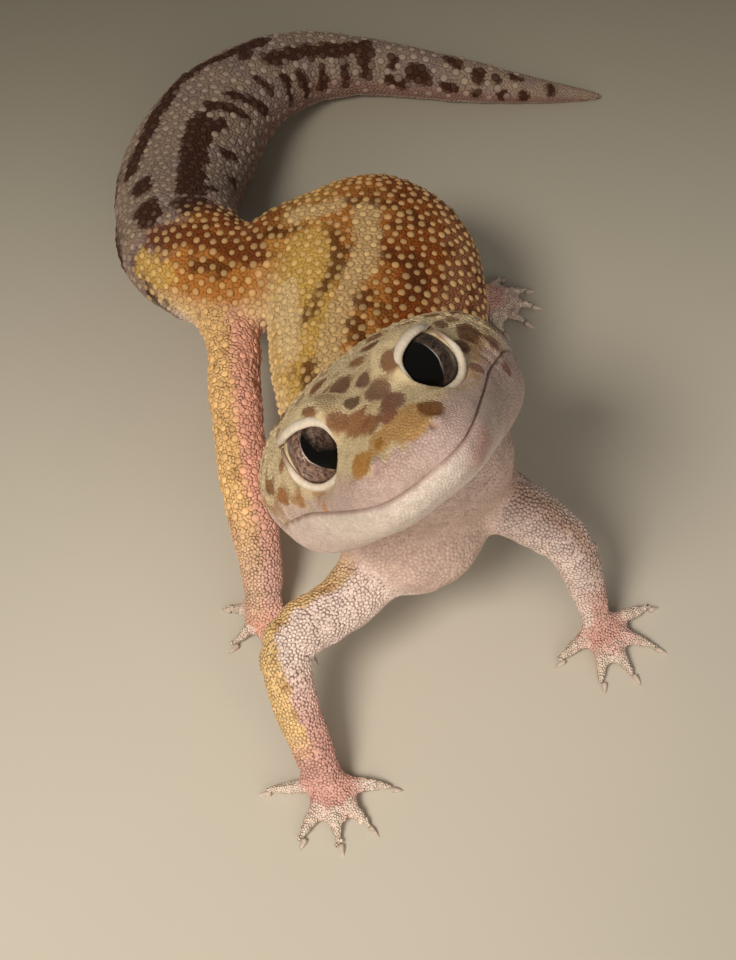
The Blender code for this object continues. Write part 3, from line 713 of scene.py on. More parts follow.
# Marks drawn over the body: colour, width in millimetres, line, and the way it goes as place and angle.
bodyMarks = (
    ("yellow", 4.6, "trunk", ((6.3, -38), (7.1, -50))), ("gold", 3.4, "rear", ((3.1, -46), (3.9, -52))),
    ("yellow", 2.6, "rear", ((4.1, -62), (4.5, -66))), ("cream", 2.8, "trunk", ((5.0, -62), (6.2, -64))),
    ("stripe", 2.5, "trunk", ((7.6, -4), (6.5, -6), (5.8, -18), (5.0, -30), (4.3, -42))),
    ("stripe", 2.2, "rear", ((1.9, 10), (1.0, 2))),
    ("brown", 1.3, "trunk", ((7.1, -27), (6.5, -26), (6.1, -30))),
    ("brown", 1.0, "rear", ((2.5, 4), (1.8, -10))),
    ("brown", 1.1, "trunk", ((7.9, -12), (7.9, 2), (7.6, 16))),
    ("brown", 1.2, "trunk", ((5.9, -36), (5.4, -44))),
    ("brown", 1.6, "trunk", ((7.4, 29), (7.2, 33))), ("brown", 2.2, "trunk", ((6.4, 24), (5.8, 30))),
    ("brown", 1.2, "trunk", ((6.6, 10), (6.4, 12))), ("brown", 1.3, "trunk", ((5.6, -7), (5.4, -8))),
    ("brown", 1.4, "trunk", ((5.0, -14), (4.6, -12))), ("brown", 1.2, "trunk", ((4.6, -52), (4.0, -56))),
    ("brown", 1.5, "rear", ((3.7, -36), (3.3, -30))),
    ("root", 2.6, "rear", ((4.5, -36), (4.2, -20), (4.0, -5), (3.4, -6), (2.8, -12))),
)
tailMarks = (
    (1.9, ((9.7, -20), (9.2, -27), (8.7, -44), (8.1, -41), (7.6, -40), (7.0, -50), (6.6, -52))),
    (2.4, ((5.9, -37), (5.7, -35))), (2.6, ((5.1, -31), (4.9, -30))), (1.2, ((9.4, -8), (9.3, 0))),
    (2.5, ((5.2, 21), (6.0, 22), (6.7, 20), (7.8, 15))), (1.5, ((7.4, 18), (7.9, 32))),
    (3.3, ((4.7, 16), (4.4, 22))), (1.5, ((4.0, 31), (4.1, 38))), (1.0, ((5.4, 32), (5.5, 42))),
    (1.1, ((7.1, 46), (7.2, 56))), (0.9, ((6.4, 62), (6.5, 70))), (1.2, ((8.2, 14), (8.3, 30), (8.4, 50))),
    (1.2, ((8.6, 28), (8.7, 46), (8.8, 64))),
    (1.6, ((9.5, 23), (9.9, 24), (10.3, 21), (10.7, 17), (11.0, 0))),
    (1.0, ((9.1, 36), (9.2, 52))), (1.0, ((9.5, 46), (9.5, 74))), (1.0, ((9.8, 52), (9.9, 82))),
    (1.0, ((10.3, 50), (10.3, 80))), (1.0, ((10.7, 46), (10.7, 78))), (1.4, ((11.0, -10), (11.0, 56))),
    (1.0, ((11.3, 22), (11.3, 36))), (1.2, ((11.3, 66), (11.4, 74))), (1.7, ((11.5, 42), (11.6, 50))),
    (1.1, ((11.8, -12), (11.9, 4))), (1.0, ((11.8, 60), (11.9, 72))), (1.3, ((12.2, 12), (12.2, 30))),
    (0.9, ((12.5, 18), (12.6, 26))), (0.9, ((12.9, -6), (13.1, 4))), (0.9, ((12.2, 74), (12.2, 86))),
    (0.8, ((12.7, 68), (12.7, 78))), (0.8, ((13.2, 66), (13.2, 90))), (0.8, ((13.7, 16), (13.7, 30))),
)


def spotsOnLine(name, rows):
    # Close places along a bent stroke on a body line's skin, and the way out of the skin at each.
    line = lines[name]
    rows = np.array(rows, dtype=float)
    steps = np.arange(0, (len(rows) - 1) * 10 + 1) / 10
    place = np.interp(steps, np.arange(len(rows)), rows[:, 0]) * lineSteps
    angle = np.radians(np.interp(steps, np.arange(len(rows)), rows[:, 1]))
    low = np.clip(place.astype(int), 0, len(line["place"]) - 2)
    share = (place - low)[:, None]
    middle, left, up = (line[key][low] * (1 - share) + line[key][low + 1] * share
                        for key in ("middle", "left", "up"))
    out = left * np.sin(angle)[:, None] + up * np.cos(angle)[:, None]
    reach = np.hypot(line["width"][low] * np.sin(angle), line["height"][low] * np.cos(angle))
    return middle + out * reach[:, None], out


def strokeDistance(points, name, rows):
    # How far table points lie from a stroke, measured along the skin.
    best = np.full(len(points), 99.0)
    for spot, out in zip(*spotsOnLine(name, rows)):
        offset = points - spot
        high = offset @ out
        away = np.sqrt(np.maximum((offset ** 2).sum(1) - high ** 2, 0))
        best = np.minimum(best, np.where(high > -4, away, 99.0))
    return best


def headMarkings(points):
    # Cream with brown spots above, gold over the snout, pink at the muzzle and pale below the mouth.
    c = headColours
    head = toHead(points)
    f, l, u = head.T
    side = np.abs(l)
    first, second, number = cellPattern(points, markLook["headCell"], 21)
    fine = softNoise(points, 0.7, 22)
    tiny = softNoise(points, 0.34, 28)
    # Away from the crown's own spots, cells of brown on cream.
    apartCells = second - first + (fine - 0.5) * 0.3
    cells = mixed(c["cream"], mixed(c["net"], c["brown"], number), ramp(apartCells, 0.16, 0.5))
    own = ramp(f, -4.5, -2.5) * ramp(side, 8, 6)
    colour = mixed(cells, mixed(c["cream"], c["net"], ramp(fine, 0.55, 0.85) * 0.5), own)
    low = ramp(u + 0.1 * side, 0.6, -1.6)
    streaks = ramp(softNoise(points, 1.5, 24) + (fine - 0.5) * 0.5, 0.52, 0.72)
    temple = mixed(c["templeCream"], c["templeBrown"], streaks * 0.7)
    colour = mixed(colour, temple, low * ramp(f, 5, 1))
    muzzle = mixed(c["muzzle"], c["blush"], ramp(softNoise(points, 3.4, 25), 0.5, 0.9) * 0.35)
    colour = mixed(colour, muzzle, ramp(u + (fine - 0.5) * 1.2, -1.0, -2.0) * ramp(f, 3.0, 6.5))
    colour = mixed(colour, muzzle, ramp(u + (fine - 0.5) * 1.6, -2.0, -3.4) * ramp(f, -10, -3) * 0.9)
    warp = (softNoise(points, 0.8, 27) - 0.5) * 0.36 + (tiny - 0.5) * 0.2
    for place, radius, longer, code in headSpots:
        away = np.linalg.norm((head - place) / (longer, 1, 1), axis=1) / radius + warp
        colour = mixed(colour, paint(code), ramp(away, 1.32, 0.96) * markLook["spot"])
    colour = mixed(colour, c["throat"], ramp(u, -2.8, -4.2) * ramp(f, -6.5, -9.5))
    apart, near = mouthReach(points)
    jaw = mixed(c["jaw"], c["throat"], ramp(f, 4, -8) * 0.8 + ramp(u, -5, -8) * 0.2)
    # Painted shade: the jaw on the left cheek darker, as the side turned from the light.
    jaw = mixed(jaw, c["muzzle"] * 0.8, ramp(l, 4.0, 8.0) * 0.8)
    fromSpot = np.linalg.norm(head - (-4.3, 10.6, -5.2), axis=1)
    colour = mixed(colour, jaw, ramp(apart, 0.0, 0.4) * ramp(fromSpot, 0.5, 1.3))
    blush = ramp(np.linalg.norm((head - (8.6, 4.2, -5.6)) / (1.2, 1.2, 0.8), axis=1), 3.2, 0.6)
    colour = mixed(colour, c["blush"], blush * 0.8)
    # Painted shade: a dark patch over the opening where the eardrum lies.
    fromEar = np.linalg.norm((onLeft(head) - earPlace) / (1, 1, 1.3), axis=1)
    colour = mixed(colour, c["ear"], ramp(fromEar, 1.6, 0.9))
    # Painted shade: the nostrils darkened.
    fromNostril = np.linalg.norm(onLeft(head) - nostrilPlace, axis=1)
    colour = mixed(colour, c["blush"] * 0.6, ramp(fromNostril, 0.42, 0.12) * 0.4)
    # Painted shade: a dark line in the mouth's groove.
    return mixed(colour, c["crease"], bell(apart, 0, 0.1) * near * 0.5)


def trunkMarkings(points, place, angle):
    # From the inner side over the back to the outer one: cream, yellow, gold, a brown net, and brown on the
    # left side that is partly the animal's own and partly painted shade.
    c = bodyColours
    fine = softNoise(points, 0.8, 32)
    turn = angle + (softNoise(points, 6.0, 33) - 0.5) * 26 + (fine - 0.5) * 16
    first, _, number = cellPattern(points, markLook["trunkCell"], 31)
    blot = ramp(number, 0.4, 0.6) * ramp(first + (fine - 0.5) * 0.4, 0.5, 0.22) * ramp(np.abs(angle), 100, 75)
    colour = mixed(c["cream"], c["yellow"], ramp(turn, -90, -60))
    colour = mixed(colour, c["gold"], ramp(turn, -48, -24))
    colour = mixed(colour, c["net"], ramp(turn, -2, 14))
    # The left side's brown: partly the animal's own colour, partly painted shade of the side turned from the
    # light.
    colour = mixed(colour, c["flank"], ramp(turn, 40, 58) * 0.8)
    colour = mixed(colour, c["brown"], blot * (0.45 + 0.3 * ramp(turn, -30, 10)))
    colour = mixed(colour, c["belly"], ramp(np.abs(turn), 98, 126))
    nape = mixed(mixed(c["stripe"], c["net"], ramp(number + fine - 0.5, 0.4, 0.7)), c["chest"],
                 ramp(np.abs(angle), 34, 66))
    return mixed(colour, nape, ramp(place + (fine - 0.5) * 0.5, 3.1, 1.9))


def rearMarkings(points, place, angle):
    # The hips go on like the trunk; the tail is lilac with dark bands and blotches.
    b, c = bodyColours, tailColours
    fine = softNoise(points, 0.9, 41)
    turn = angle + (softNoise(points, 5.0, 42) - 0.5) * 24
    first, _, number = cellPattern(points, markLook["rearCell"], 43)
    blot = ramp(number, 0.4, 0.6) * ramp(first + (fine - 0.5) * 0.4, 0.5, 0.2)
    hips = mixed(b["cream"], b["gold"], ramp(turn, -92, -48))
    hips = mixed(hips, b["net"], ramp(turn, -5, 20))
    hips = mixed(hips, b["brown"], blot * 0.7)
    hips = mixed(hips, b["belly"], ramp(np.abs(turn), 84, 108))
    tail = mixed(c["pale"], c["lilac"], ramp(softNoise(points, 2.0, 44), 0.3, 0.7))
    tail = mixed(tail, c["plain"], ramp(angle, 58, 84))
    dark = ramp(softNoise(points, 3.0, 45) + (fine - 0.5) * 0.3, 0.56, 0.66) * bell(angle, -88, 18)
    warp = (fine - 0.5) * 0.9 + (softNoise(points, 0.45, 46) - 0.5) * 0.35
    for width, rows in tailMarks:
        away = strokeDistance(points, "rear", rows) + warp
        dark = np.maximum(dark, ramp(away, width * 0.62 + 0.25, width * 0.62 - 0.25))
    tail = mixed(tail, c["dark"], dark * markLook["tailMark"])
    tail = mixed(tail, c["under"], ramp(np.abs(angle), 108, 136))
    return mixed(hips, tail, ramp(place + (fine - 0.5) * 0.4 - 0.003 * angle, 4.2, 4.7))


def limbMarkings(points, name, place, angle):
    c = limbColours
    fine = softNoise(points, 0.9, 51)
    first, _, number = cellPattern(points, markLook["limbCell"], 52)
    spots = ramp(number, 0.35, 0.5) * ramp(first + (fine - 0.5) * 0.3, 0.5, 0.26)
    turn = angle + (fine - 0.5) * 24
    if name == "armRight":
        outer = ramp(turn, 4, 22) * ramp(turn, 130, 100) * ramp(place, 3.9, 3.3)
        colour = mixed(mixed(c["cream"], c["red"], ramp(place, 2.0, 3.6)), c["yellow"], outer)
        colour = mixed(colour, c["spot"], spots * outer * 0.75)
    elif name == "armLeft":
        colour = mixed(c["dusk"], c["cream"], ramp(turn, 40, 90))
        edge = bell(turn, 0, 30) * ramp(place, 3.2, 2.0)
        colour = mixed(colour, c["brown"], edge * 0.6)
        colour = mixed(colour, c["red"], ramp(place, 2.6, 3.6) * ramp(np.abs(turn), 95, 60) * 0.8)
    elif name == "legRight":
        outer = ramp(turn, -12, 22) * ramp(turn, 150, 110)
        colour = mixed(c["salmon"], c["gold"], outer)
        colour = mixed(colour, c["spot"], spots * outer * 0.45)
        colour = mixed(colour, c["pink"], ramp(place, 3.0, 4.4) * 0.6)
    else:
        upper = ramp(np.abs(turn), 90, 50)
        colour = mixed(c["pink"], c["yellow"], upper * 0.4)
        colour = mixed(colour, c["spot"], spots * upper * 0.5)
        colour = mixed(colour, c["red"], ramp(place, 2.4, 4.0) * 0.5)
    return mixed(colour, colour * 0.88, ramp(fine, 0.5, 0.8))


def footMarkings(points, name, place):
    c = limbColours
    palm = c["salmon"] if name == "footRight" else c["red"]
    colour = mixed(palm + np.zeros((len(points), 3)), c["pink"], ramp(place, 0.1, 0.35) * 0.6)
    onToe = ramp(place + (softNoise(points, 1.2, 61) - 0.5) * 0.4, 0.3, 0.75)
    return mixed(colour, c["toe"], onToe * 0.85)


def markingsAt(points):
    # Linear colour for table points, blended where one part grows into the next.
    found = placesOf(points)
    total = np.zeros((len(points), 3))
    weight = np.zeros(len(points))
    for name, one in found.items():
        here = np.nonzero(one["share"] > 0.004)[0]
        some, place, angle = points[here], one["place"][here], one["angle"][here]
        if name == "head":
            colour = headMarkings(some)
        elif name == "trunk":
            colour = trunkMarkings(some, place, angle)
        elif name == "rear":
            colour = rearMarkings(some, place, angle)
        elif name in feet:
            colour = footMarkings(some, name, place)
        else:
            colour = limbMarkings(some, name, place, angle)
        total[here] += one["share"][here, None] * colour
        weight[here] += one["share"][here]
    total /= weight[:, None]
    torso = found["trunk"]["share"] * ramp(found["trunk"]["place"], 2.8, 3.6)
    torso = torso + found["rear"]["share"] * ramp(found["rear"]["place"], 5.2, 4.7)
    here = np.nonzero(torso > 0.05)[0]
    some = points[here]
    warp = (softNoise(some, 0.8, 72) - 0.5) * 1.3
    for key, width, line, rows in bodyMarks:
        away = strokeDistance(some, line, rows) + warp
        cover = ramp(away, width / 2 + 0.5, width / 2 - 0.3) * np.clip(torso[here] * 1.3, 0, 1)
        total[here] = mixed(total[here], bodyColours[key], cover * markLook["bodyMark"])
    blotch = softNoise(points, 1.3, 71) - 0.5
    return np.clip(total * (1 + markLook["blotch"] * blotch[:, None]), 0, 1)


def setColours(obj, colours):
    layer = obj.data.color_attributes.new(name="markings", type="FLOAT_COLOR", domain="POINT")
    values = np.ones((len(colours), 4))
    values[:, :3] = colours
    layer.data.foreach_set("color", values.ravel())


def setInputs(node, values):
    # A value is a plain one, a setting of the node's own, or the output that feeds the input.
    for name, value in values.items():
        if isinstance(value, bpy.types.NodeSocket):
            node.id_data.links.new(value, node.inputs[name])
        elif name in node.inputs:
            node.inputs[name].default_value = value
        else:
            setattr(node, name, value)


def newMaterial(name, finish):
    material = bpy.data.materials.new(name)
    material.use_nodes = True
    nodes = material.node_tree.nodes
    setInputs(nodes["Principled BSDF"], finish)
    return material, nodes, nodes["Principled BSDF"]


def addNode(nodes, kind, **settings):
    node = nodes.new("ShaderNode" + kind)
    setInputs(node, settings)
    return node


def addMix(nodes, kind, share, below, above):
    mix = addNode(nodes, "MixRGB", blend_type=kind, Fac=share, Color1=below, Color2=above)
    return mix.outputs["Color"]


def addTones(nodes, source, *stops):
    # A colour for each value of the source: places on it, in order, with their colours.
    tones = addNode(nodes, "ValToRGB", Fac=source)
    elements = tones.color_ramp.elements
    for k, (place, colour) in enumerate((stops[0], stops[-1])):
        elements[k].position = place
        elements[k].color = (*colour, 1)
    for place, colour in stops[1:-1]:
        elements.new(place).color = (*colour, 1)
    return tones.outputs["Color"]


black, white = (0, 0, 0), (1, 1, 1)

# How skin and scales take the light; the grain is counted along a metre.
fleshFinish = {"Specular IOR Level": 0.22, "Subsurface Radius": (0.9, 0.35, 0.2), "Subsurface Scale": 0.0008}
skinFinish = {"grain": 3600.0, "bump": 0.14, "subsurface": 0.12, "roughness": (0.47, 0.69), "mottle": 0.35}
coatFinish = {**skinFinish, "grain": 5200.0, "bump": 0.08, "subsurface": 0.0}


def skinMaterial(name, finish):
    material, nodes, shader = newMaterial(name, fleshFinish)
    place = addNode(nodes, "TexCoord").outputs["Object"]
    colour = addNode(nodes, "Attribute", attribute_name="markings").outputs["Color"]
    mottle = addNode(nodes, "TexNoise", Vector=place, Scale=1500.0, Detail=3.0).outputs["Fac"]
    tone = addTones(nodes, mottle, (0.3, (0.62, 0.55, 0.5)), (0.7, white))
    cells = addNode(nodes, "TexVoronoi", Vector=place, Scale=finish["grain"]).outputs["Distance"]
    lift = addNode(nodes, "Bump", Strength=finish["bump"], Distance=0.0001, Height=cells, invert=True)
    shine = addNode(nodes, "MapRange", Value=mottle)
    setInputs(shine, {"To Min": finish["roughness"][0], "To Max": finish["roughness"][1]})
    setInputs(shader, {"Base Color": addMix(nodes, "MULTIPLY", finish["mottle"], colour, tone),
                       "Normal": lift.outputs["Normal"], "Roughness": shine.outputs["Result"],
                       "Subsurface Weight": finish["subsurface"]})
    return material


skinPaint = skinMaterial("gecko_skin", skinFinish)
setColours(skin, markingsAt(toTable(readPoints(skin))))
skin.data.materials.append(skinPaint)
fleshNodes = [name for name in frame["nodes"] if not name.startswith("eye_")]
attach(skin, "root")
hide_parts(*fleshNodes)
print("markings done")


# Eyes.
# The slit's rear margin on each eye (bend, depth and height), the black in front of the right one's iris,
# partly the slit and partly painted shade, each iris's painted shade as a factor on its brightness, and how
# far the balls stay inside their sockets.
eyeLook = {"right": (0.18, 0.24, 0.55), "left": (0.085, 0.12, 1.2), "front": (1.35, 0.43),
           "frontLow": (0.2, 0.45, 1.5), "rightShade": 0.95, "leftShade": 0.27, "gap": 0.03,
           "segments": (96, 64)}
eyeColours = {**paints(iris="#8d7468", pale="#c9b3a2", crack="#2c1c17", edge="#4a2319", silver="#cfc6bc"),
              "pupil": (0.0015, 0.0013, 0.0012)}
eyeFinish = {"Roughness": 0.4, "Specular IOR Level": 0.15, "Coat Weight": 0.4, "Coat Roughness": 0.03}


def eyeMaterial():
    material, nodes, shader = newMaterial("gecko_eye", eyeFinish)
    place = addNode(nodes, "TexCoord").outputs["Object"]
    colour = addNode(nodes, "Attribute", attribute_name="markings").outputs["Color"]
    slit = addNode(nodes, "Attribute", attribute_name="slit").outputs["Fac"]
    line = addNode(nodes, "Attribute", attribute_name="line").outputs["Fac"]
    vein = addNode(nodes, "TexNoise", Vector=place, Scale=850.0, Detail=5.0, Roughness=0.55, Distortion=0.7)
    grain = addNode(nodes, "TexNoise", Vector=place, Scale=2100.0, Detail=4.0, Distortion=1.2)
    cracks = addTones(nodes, vein.outputs["Fac"], (0.465, white), (0.5, eyeColours["crack"]), (0.535, white))
    marble = addTones(nodes, grain.outputs["Fac"], (0.35, (0.35, 0.28, 0.25)), (0.62, (1.25, 1.15, 1.05)))
    iris = addMix(nodes, "MULTIPLY", 1.0, colour, marble)
    iris = addMix(nodes, "MULTIPLY", 0.75, iris, cracks)
    # The slit: black inside, a thin silver line round it.
    ring = addTones(nodes, slit, (0.5, eyeColours["silver"]), (0.545, black))
    iris = addMix(nodes, "ADD", line, iris, ring)
    inside = addTones(nodes, slit, (0.485, white), (0.5, black))
    setInputs(shader, {"Base Color": addMix(nodes, "MIX", inside, iris, (*eyeColours["pupil"], 1))})
    return material


def setShares(obj, name, values):
    shares = obj.data.attributes.new(name=name, type="FLOAT", domain="POINT")
    shares.data.foreach_set("value", values)


def makeEye(side, node, paintwork):
    which = "left" if side > 0 else "right"
    columns, rows = eyeLook["segments"]
    deselectAll()
    bpy.ops.mesh.primitive_uv_sphere_add(segments=columns, ring_count=rows, radius=1.0)
    ball = bpy.context.active_object
    ball.name = ball.data.name = "eyeball_" + which
    points = readPoints(ball) * (eyeShape["radius"] - eyeLook["gap"])
    nose, up = points.T[:2]
    # Black from the slit's rear margin to the nose, partly the slit and partly painted shade over the iris;
    # only the right eye shows iris in front of it too.
    bend, deep, height = eyeLook[which]
    behind = bend * (up - height) ** 2 + deep - nose
    far, slope = eyeLook["front"]
    low, rise, start = eyeLook["frontLow"]
    front = np.minimum(nose - far + slope * up, up + low + rise * (nose - start))
    edge = behind if side > 0 else np.maximum(behind, front)
    edge = edge + 0.08 * (softNoise(points, 0.5, 81) - 0.5)
    setShares(ball, "slit", np.clip(0.5 + edge * 0.35, 0, 1))
    setShares(ball, "line", bell(up, -0.2, 1.0) * (behind > -0.25) * 0.7)
    outer = np.sqrt(nose ** 2 + up ** 2)
    c = eyeColours
    shade = mixed(c["iris"], c["pale"], ramp(softNoise(points, 1.2, 82), 0.4, 0.7) * 0.7)
    # Painted shade: the iris darkens towards the lids.
    shade = mixed(shade, c["crack"], ramp(outer, 2.0, 2.9) * 0.4)
    # Painted shade: the iris darkened just in front of the slit's rear margin, and each side's iris dimmed by
    # its own factor, the left one to about a quarter.
    shade = mixed(shade, c["crack"], ramp(behind, 0.0, -0.4) * 0.6) * eyeLook[which + "Shade"]
    # Painted shade: the iris in front of the slit's rear margin darkens to black close to the slit.
    shade = mixed(shade, c["pupil"], (behind < 0) * ramp(front, 1.0, 0.0) * 0.85)
    shade = mixed(shade, c["edge"], ramp(outer, 2.6, 3.0) * 0.6)
    setColours(ball, shade)
    middle = eyeMiddles()[0 if side > 0 else 1]
    writePoints(ball, toScene(middle + points @ eyeFrame(side)))
    faceOutwards(ball)  # the left eye's frame is mirrored
    ball.data.shade_smooth()
    ball.data.materials.append(paintwork)
    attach(ball, "root")
    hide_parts(node)


eyePaint = eyeMaterial()
makeEye(1, "eye_left", eyePaint)
makeEye(-1, "eye_right", eyePaint)


def makeRim(side):
    # A cushion of small scales round the opening between the lids, broad over the brow.
    sections = rimLook["sections"]
    ripple = np.abs(np.sin(np.arange(sections) * math.pi * rimLook["scales"] / sections)) ** 0.5
    rim = ringAlong(side, 0.0, None, rimLook["reach"], rimLook["thick"], 0.94 + 0.06 * ripple)
    rim.name = rim.data.name = "lid_rim_left" if side > 0 else "lid_rim_right"
    rim.data.shade_smooth()
    # Painted shade: the rim darker in the dips between its little scales.
    tone = mixed(headColours["rim"], headColours["rim"] * 0.82, (1 - ripple) * 0.5)
    narrow = ramp(closedCurve(rimLook["path"], sections)[:, 2], 0.26, 0.12)
    setColours(rim, np.repeat(mixed(tone, headColours["brown"], narrow * 0.7), rimLook["sides"], axis=0))
    rim.data.materials.append(skinPaint)
    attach(rim, "root")


makeRim(1)
makeRim(-1)
print("eyes done")


# Claws.
clawLook = {"length": 1.25, "base": 0.34, "tip": 0.05, "droop": 0.32, "swell": 0.35, "wide": 0.8,
            "height": 0.48, "beyond": 0.1, "lowest": 0.03}


def makeClaws():
    # One curved claw is modelled and copied to the tip of every toe.
    deselectAll()
    bpy.ops.mesh.primitive_cone_add(vertices=12, radius1=clawLook["base"], radius2=clawLook["tip"],
                                    depth=clawLook["length"], location=(0, 0, clawLook["length"] / 2))
    first = bpy.context.active_object
    bpy.ops.object.transform_apply(location=True, rotation=False, scale=False)
    bpy.ops.object.mode_set(mode="EDIT")
    for share in (0.25, 0.5, 0.75):
        bpy.ops.mesh.select_all(action="SELECT")
        bpy.ops.mesh.bisect(plane_co=(0, 0, clawLook["length"] * share), plane_no=(0, 0, 1))
    bpy.ops.object.mode_set(mode="OBJECT")
    shape = readPoints(first)
    along = shape[:, 2] / clawLook["length"]
    swell = 1 + clawLook["swell"] * np.sin(along * math.pi)
    claw = np.column_stack([shape[:, 2], shape[:, 0] * swell * clawLook["wide"],
                            shape[:, 1] * swell - clawLook["droop"] * along ** 2])
    copies = []
    for palm, _, headings, lengths in feet.values():
        for heading, length in zip(headings, lengths):
            copy = bpy.data.objects.new("claw", first.data.copy())
            bpy.context.collection.objects.link(copy)
            turn = math.radians(heading)
            way = np.array((math.cos(turn), math.sin(turn), 0))
            aside = np.array((-way[1], way[0], 0))
            root = np.array((*palm, clawLook["height"])) + way * (length + clawLook["beyond"])
            points = root + claw[:, :1] * way + claw[:, 1:2] * aside + claw[:, 2:] * np.array((0, 0, 1.0))
            points[:, 2] = np.maximum(points[:, 2], clawLook["lowest"])
            writePoints(copy, toScene(points))
            copies.append(copy)
    bpy.data.objects.remove(first)
    claws = joinAll(copies)
    claws.name = claws.data.name = "claws"
    faceOutwards(claws)
    applyModifier(claws, "SUBSURF", levels=1, render_levels=1)
    claws.data.shade_smooth()
    return claws


def clawMaterial():
    material, nodes, shader = newMaterial("gecko_claw", {"Roughness": 0.32})
    place = addNode(nodes, "TexCoord").outputs["Object"]
    streak = addNode(nodes, "TexNoise", Vector=place, Scale=2600.0, Detail=2.0).outputs["Fac"]
    setInputs(shader, {"Base Color": addTones(nodes, streak, (0, paint("#8f7566")), (1, paint("#dccdbb")))})
    return material


claws = makeClaws()
claws.data.materials.append(clawMaterial())
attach(claws, "root")
print("claws done")


# The coat: granules all over, and round tubercles on back, flanks, hips, tail and legs.
# Spacings are in millimetres; relief is a scale's height as a share of a full dome's.
coatLook = {
    "tintSeed": 7, "rootSeed": 5, "turnSeed": 13, "rounds": 5, "push": 0.45, "loose": 1.06,
    "patch": 0.003, "most": 190000, "lowest": 0.015, "clear": 0.42, "under": 0.16,
    "crown": 0.4, "face": 0.33, "lips": 0.27, "lids": 0.28, "jaw": 0.37, "neck": 0.44, "back": 0.5,
    "belly": 0.6, "tail": 0.54, "tailTip": 0.38, "limbs": 0.41, "palms": 0.34, "toes": 0.28,
    "relief": 0.42, "trunkRelief": 0.58, "rearRelief": 0.5, "snoutRelief": -0.12,
    "lightFaces": 6000, "islandAngle": 66, "islandGap": 0.004,
}


def blankPlaces(points, head):
    # Where nothing grows: inside the sockets and under the rims, in ears, nostrils and the mouth.
    apart, near = mouthReach(points)
    fromEye = eyeDistance(points)
    blank = (fromEye < 3.4) | ((lidDistance(points) < 0.02) & (fromEye < 3.95))
    blank |= np.linalg.norm((onLeft(head) - earPlace) / (1, 1, 1.3), axis=1) < 0.95
    blank |= np.linalg.norm(onLeft(head) - nostrilPlace, axis=1) < 0.28
    blank |= (np.abs(apart) < 0.12) & (near > 0.3)
    return blank


def granuleSpacing(points):
    # How far apart granules stand at table points; 0 where none grows.
    look = coatLook
    found = placesOf(points)
    head = toHead(points)
    apart, near = mouthReach(points)
    onHead = look["crown"] + (look["face"] - look["crown"]) * ramp(head[:, 0], 0, 5)
    onHead = onHead + (look["jaw"] - onHead) * ramp(head[:, 2], -4, -6)
    onHead = onHead + (look["lips"] - onHead) * ramp(np.abs(apart), 1.8, 0.6) * near
    onHead = onHead + (look["lids"] - onHead) * ramp(eyeDistance(points), 5.6, 4.6)
    total = found["head"]["share"] * onHead
    for name, one in found.items():
        under = ramp(np.abs(one["angle"]), 95, 130)
        if name == "trunk":
            size = look["back"] + (look["belly"] - look["back"]) * under
            size = size + (look["neck"] - size) * ramp(one["place"], 3.0, 1.5)
        elif name == "rear":
            size = look["back"] + (look["tail"] - look["back"]) * ramp(one["place"], 6, 8)
            size = size + (look["belly"] - size) * under
            size = size + (look["tailTip"] - size) * ramp(one["place"], 10.5, 14)
        elif name in feet:
            size = look["palms"] + (look["toes"] - look["palms"]) * ramp(one["place"], 0.2, 0.6)
        elif name == "head":
            continue
        else:
            size = np.full(len(points), look["limbs"])
        total = total + one["share"] * size
    return np.where(blankPlaces(points, head), 0, total)


tubercleLook = {
    "rootSeed": 3, "turnSeed": 11, "rounds": 9, "size": 0.62,
    "spacing": 1.28, "tail": 1.5, "limbs": 1.15, "nape": 1.05, "head": 0.95,
    "relief": 0.5, "bodyRelief": 0.4, "tailRelief": 0.12, "bodyPearl": 0.42, "tailPearl": 0.24,
}


def tubercleSpacing(points):
    # The same for tubercles, which grow on nape, back, flanks, hips, tail and thighs.
    look = tubercleLook
    found = placesOf(points)
    head = toHead(points)
    trunk, rear = found["trunk"], found["rear"]
    width = 58 + 50 * ramp(trunk["place"], 2.0, 3.6)
    grows = trunk["share"] * ramp(np.abs(trunk["angle"]) - width, 4, -4) * ramp(trunk["place"], 0.6, 1.4)
    size = look["nape"] + (look["spacing"] - look["nape"]) * ramp(trunk["place"], 1.5, 3.5)
    spacing = trunk["share"] * size + rear["share"] * (look["spacing"] + (look["tail"] - look["spacing"])
                                                      * ramp(rear["place"], 6.5, 8))
    grows = grows + rear["share"] * ramp(np.abs(rear["angle"]), 108, 98) * ramp(rear["place"], 13.5, 12.8)
    for name in ("legRight", "legLeft", "armRight", "armLeft"):
        one = found[name]
        if name.startswith("leg"):
            outer = ramp(np.abs(one["angle"]), 118, 100) * ramp(one["place"], 3.9, 3.5)
            grows = grows + one["share"] * outer
        spacing = spacing + one["share"] * look["limbs"]
    nape = found["head"]["share"] * ramp(head[:, 0], -7, -8.5) * ramp(head[:, 2], -3.5, -2)
    grows = grows + nape
    spacing = spacing + found["head"]["share"] * look["head"]
    spacing = spacing + sum(found[name]["share"] for name in feet)
    return np.where((grows > 0.5) & ~blankPlaces(points, head), spacing, 0)


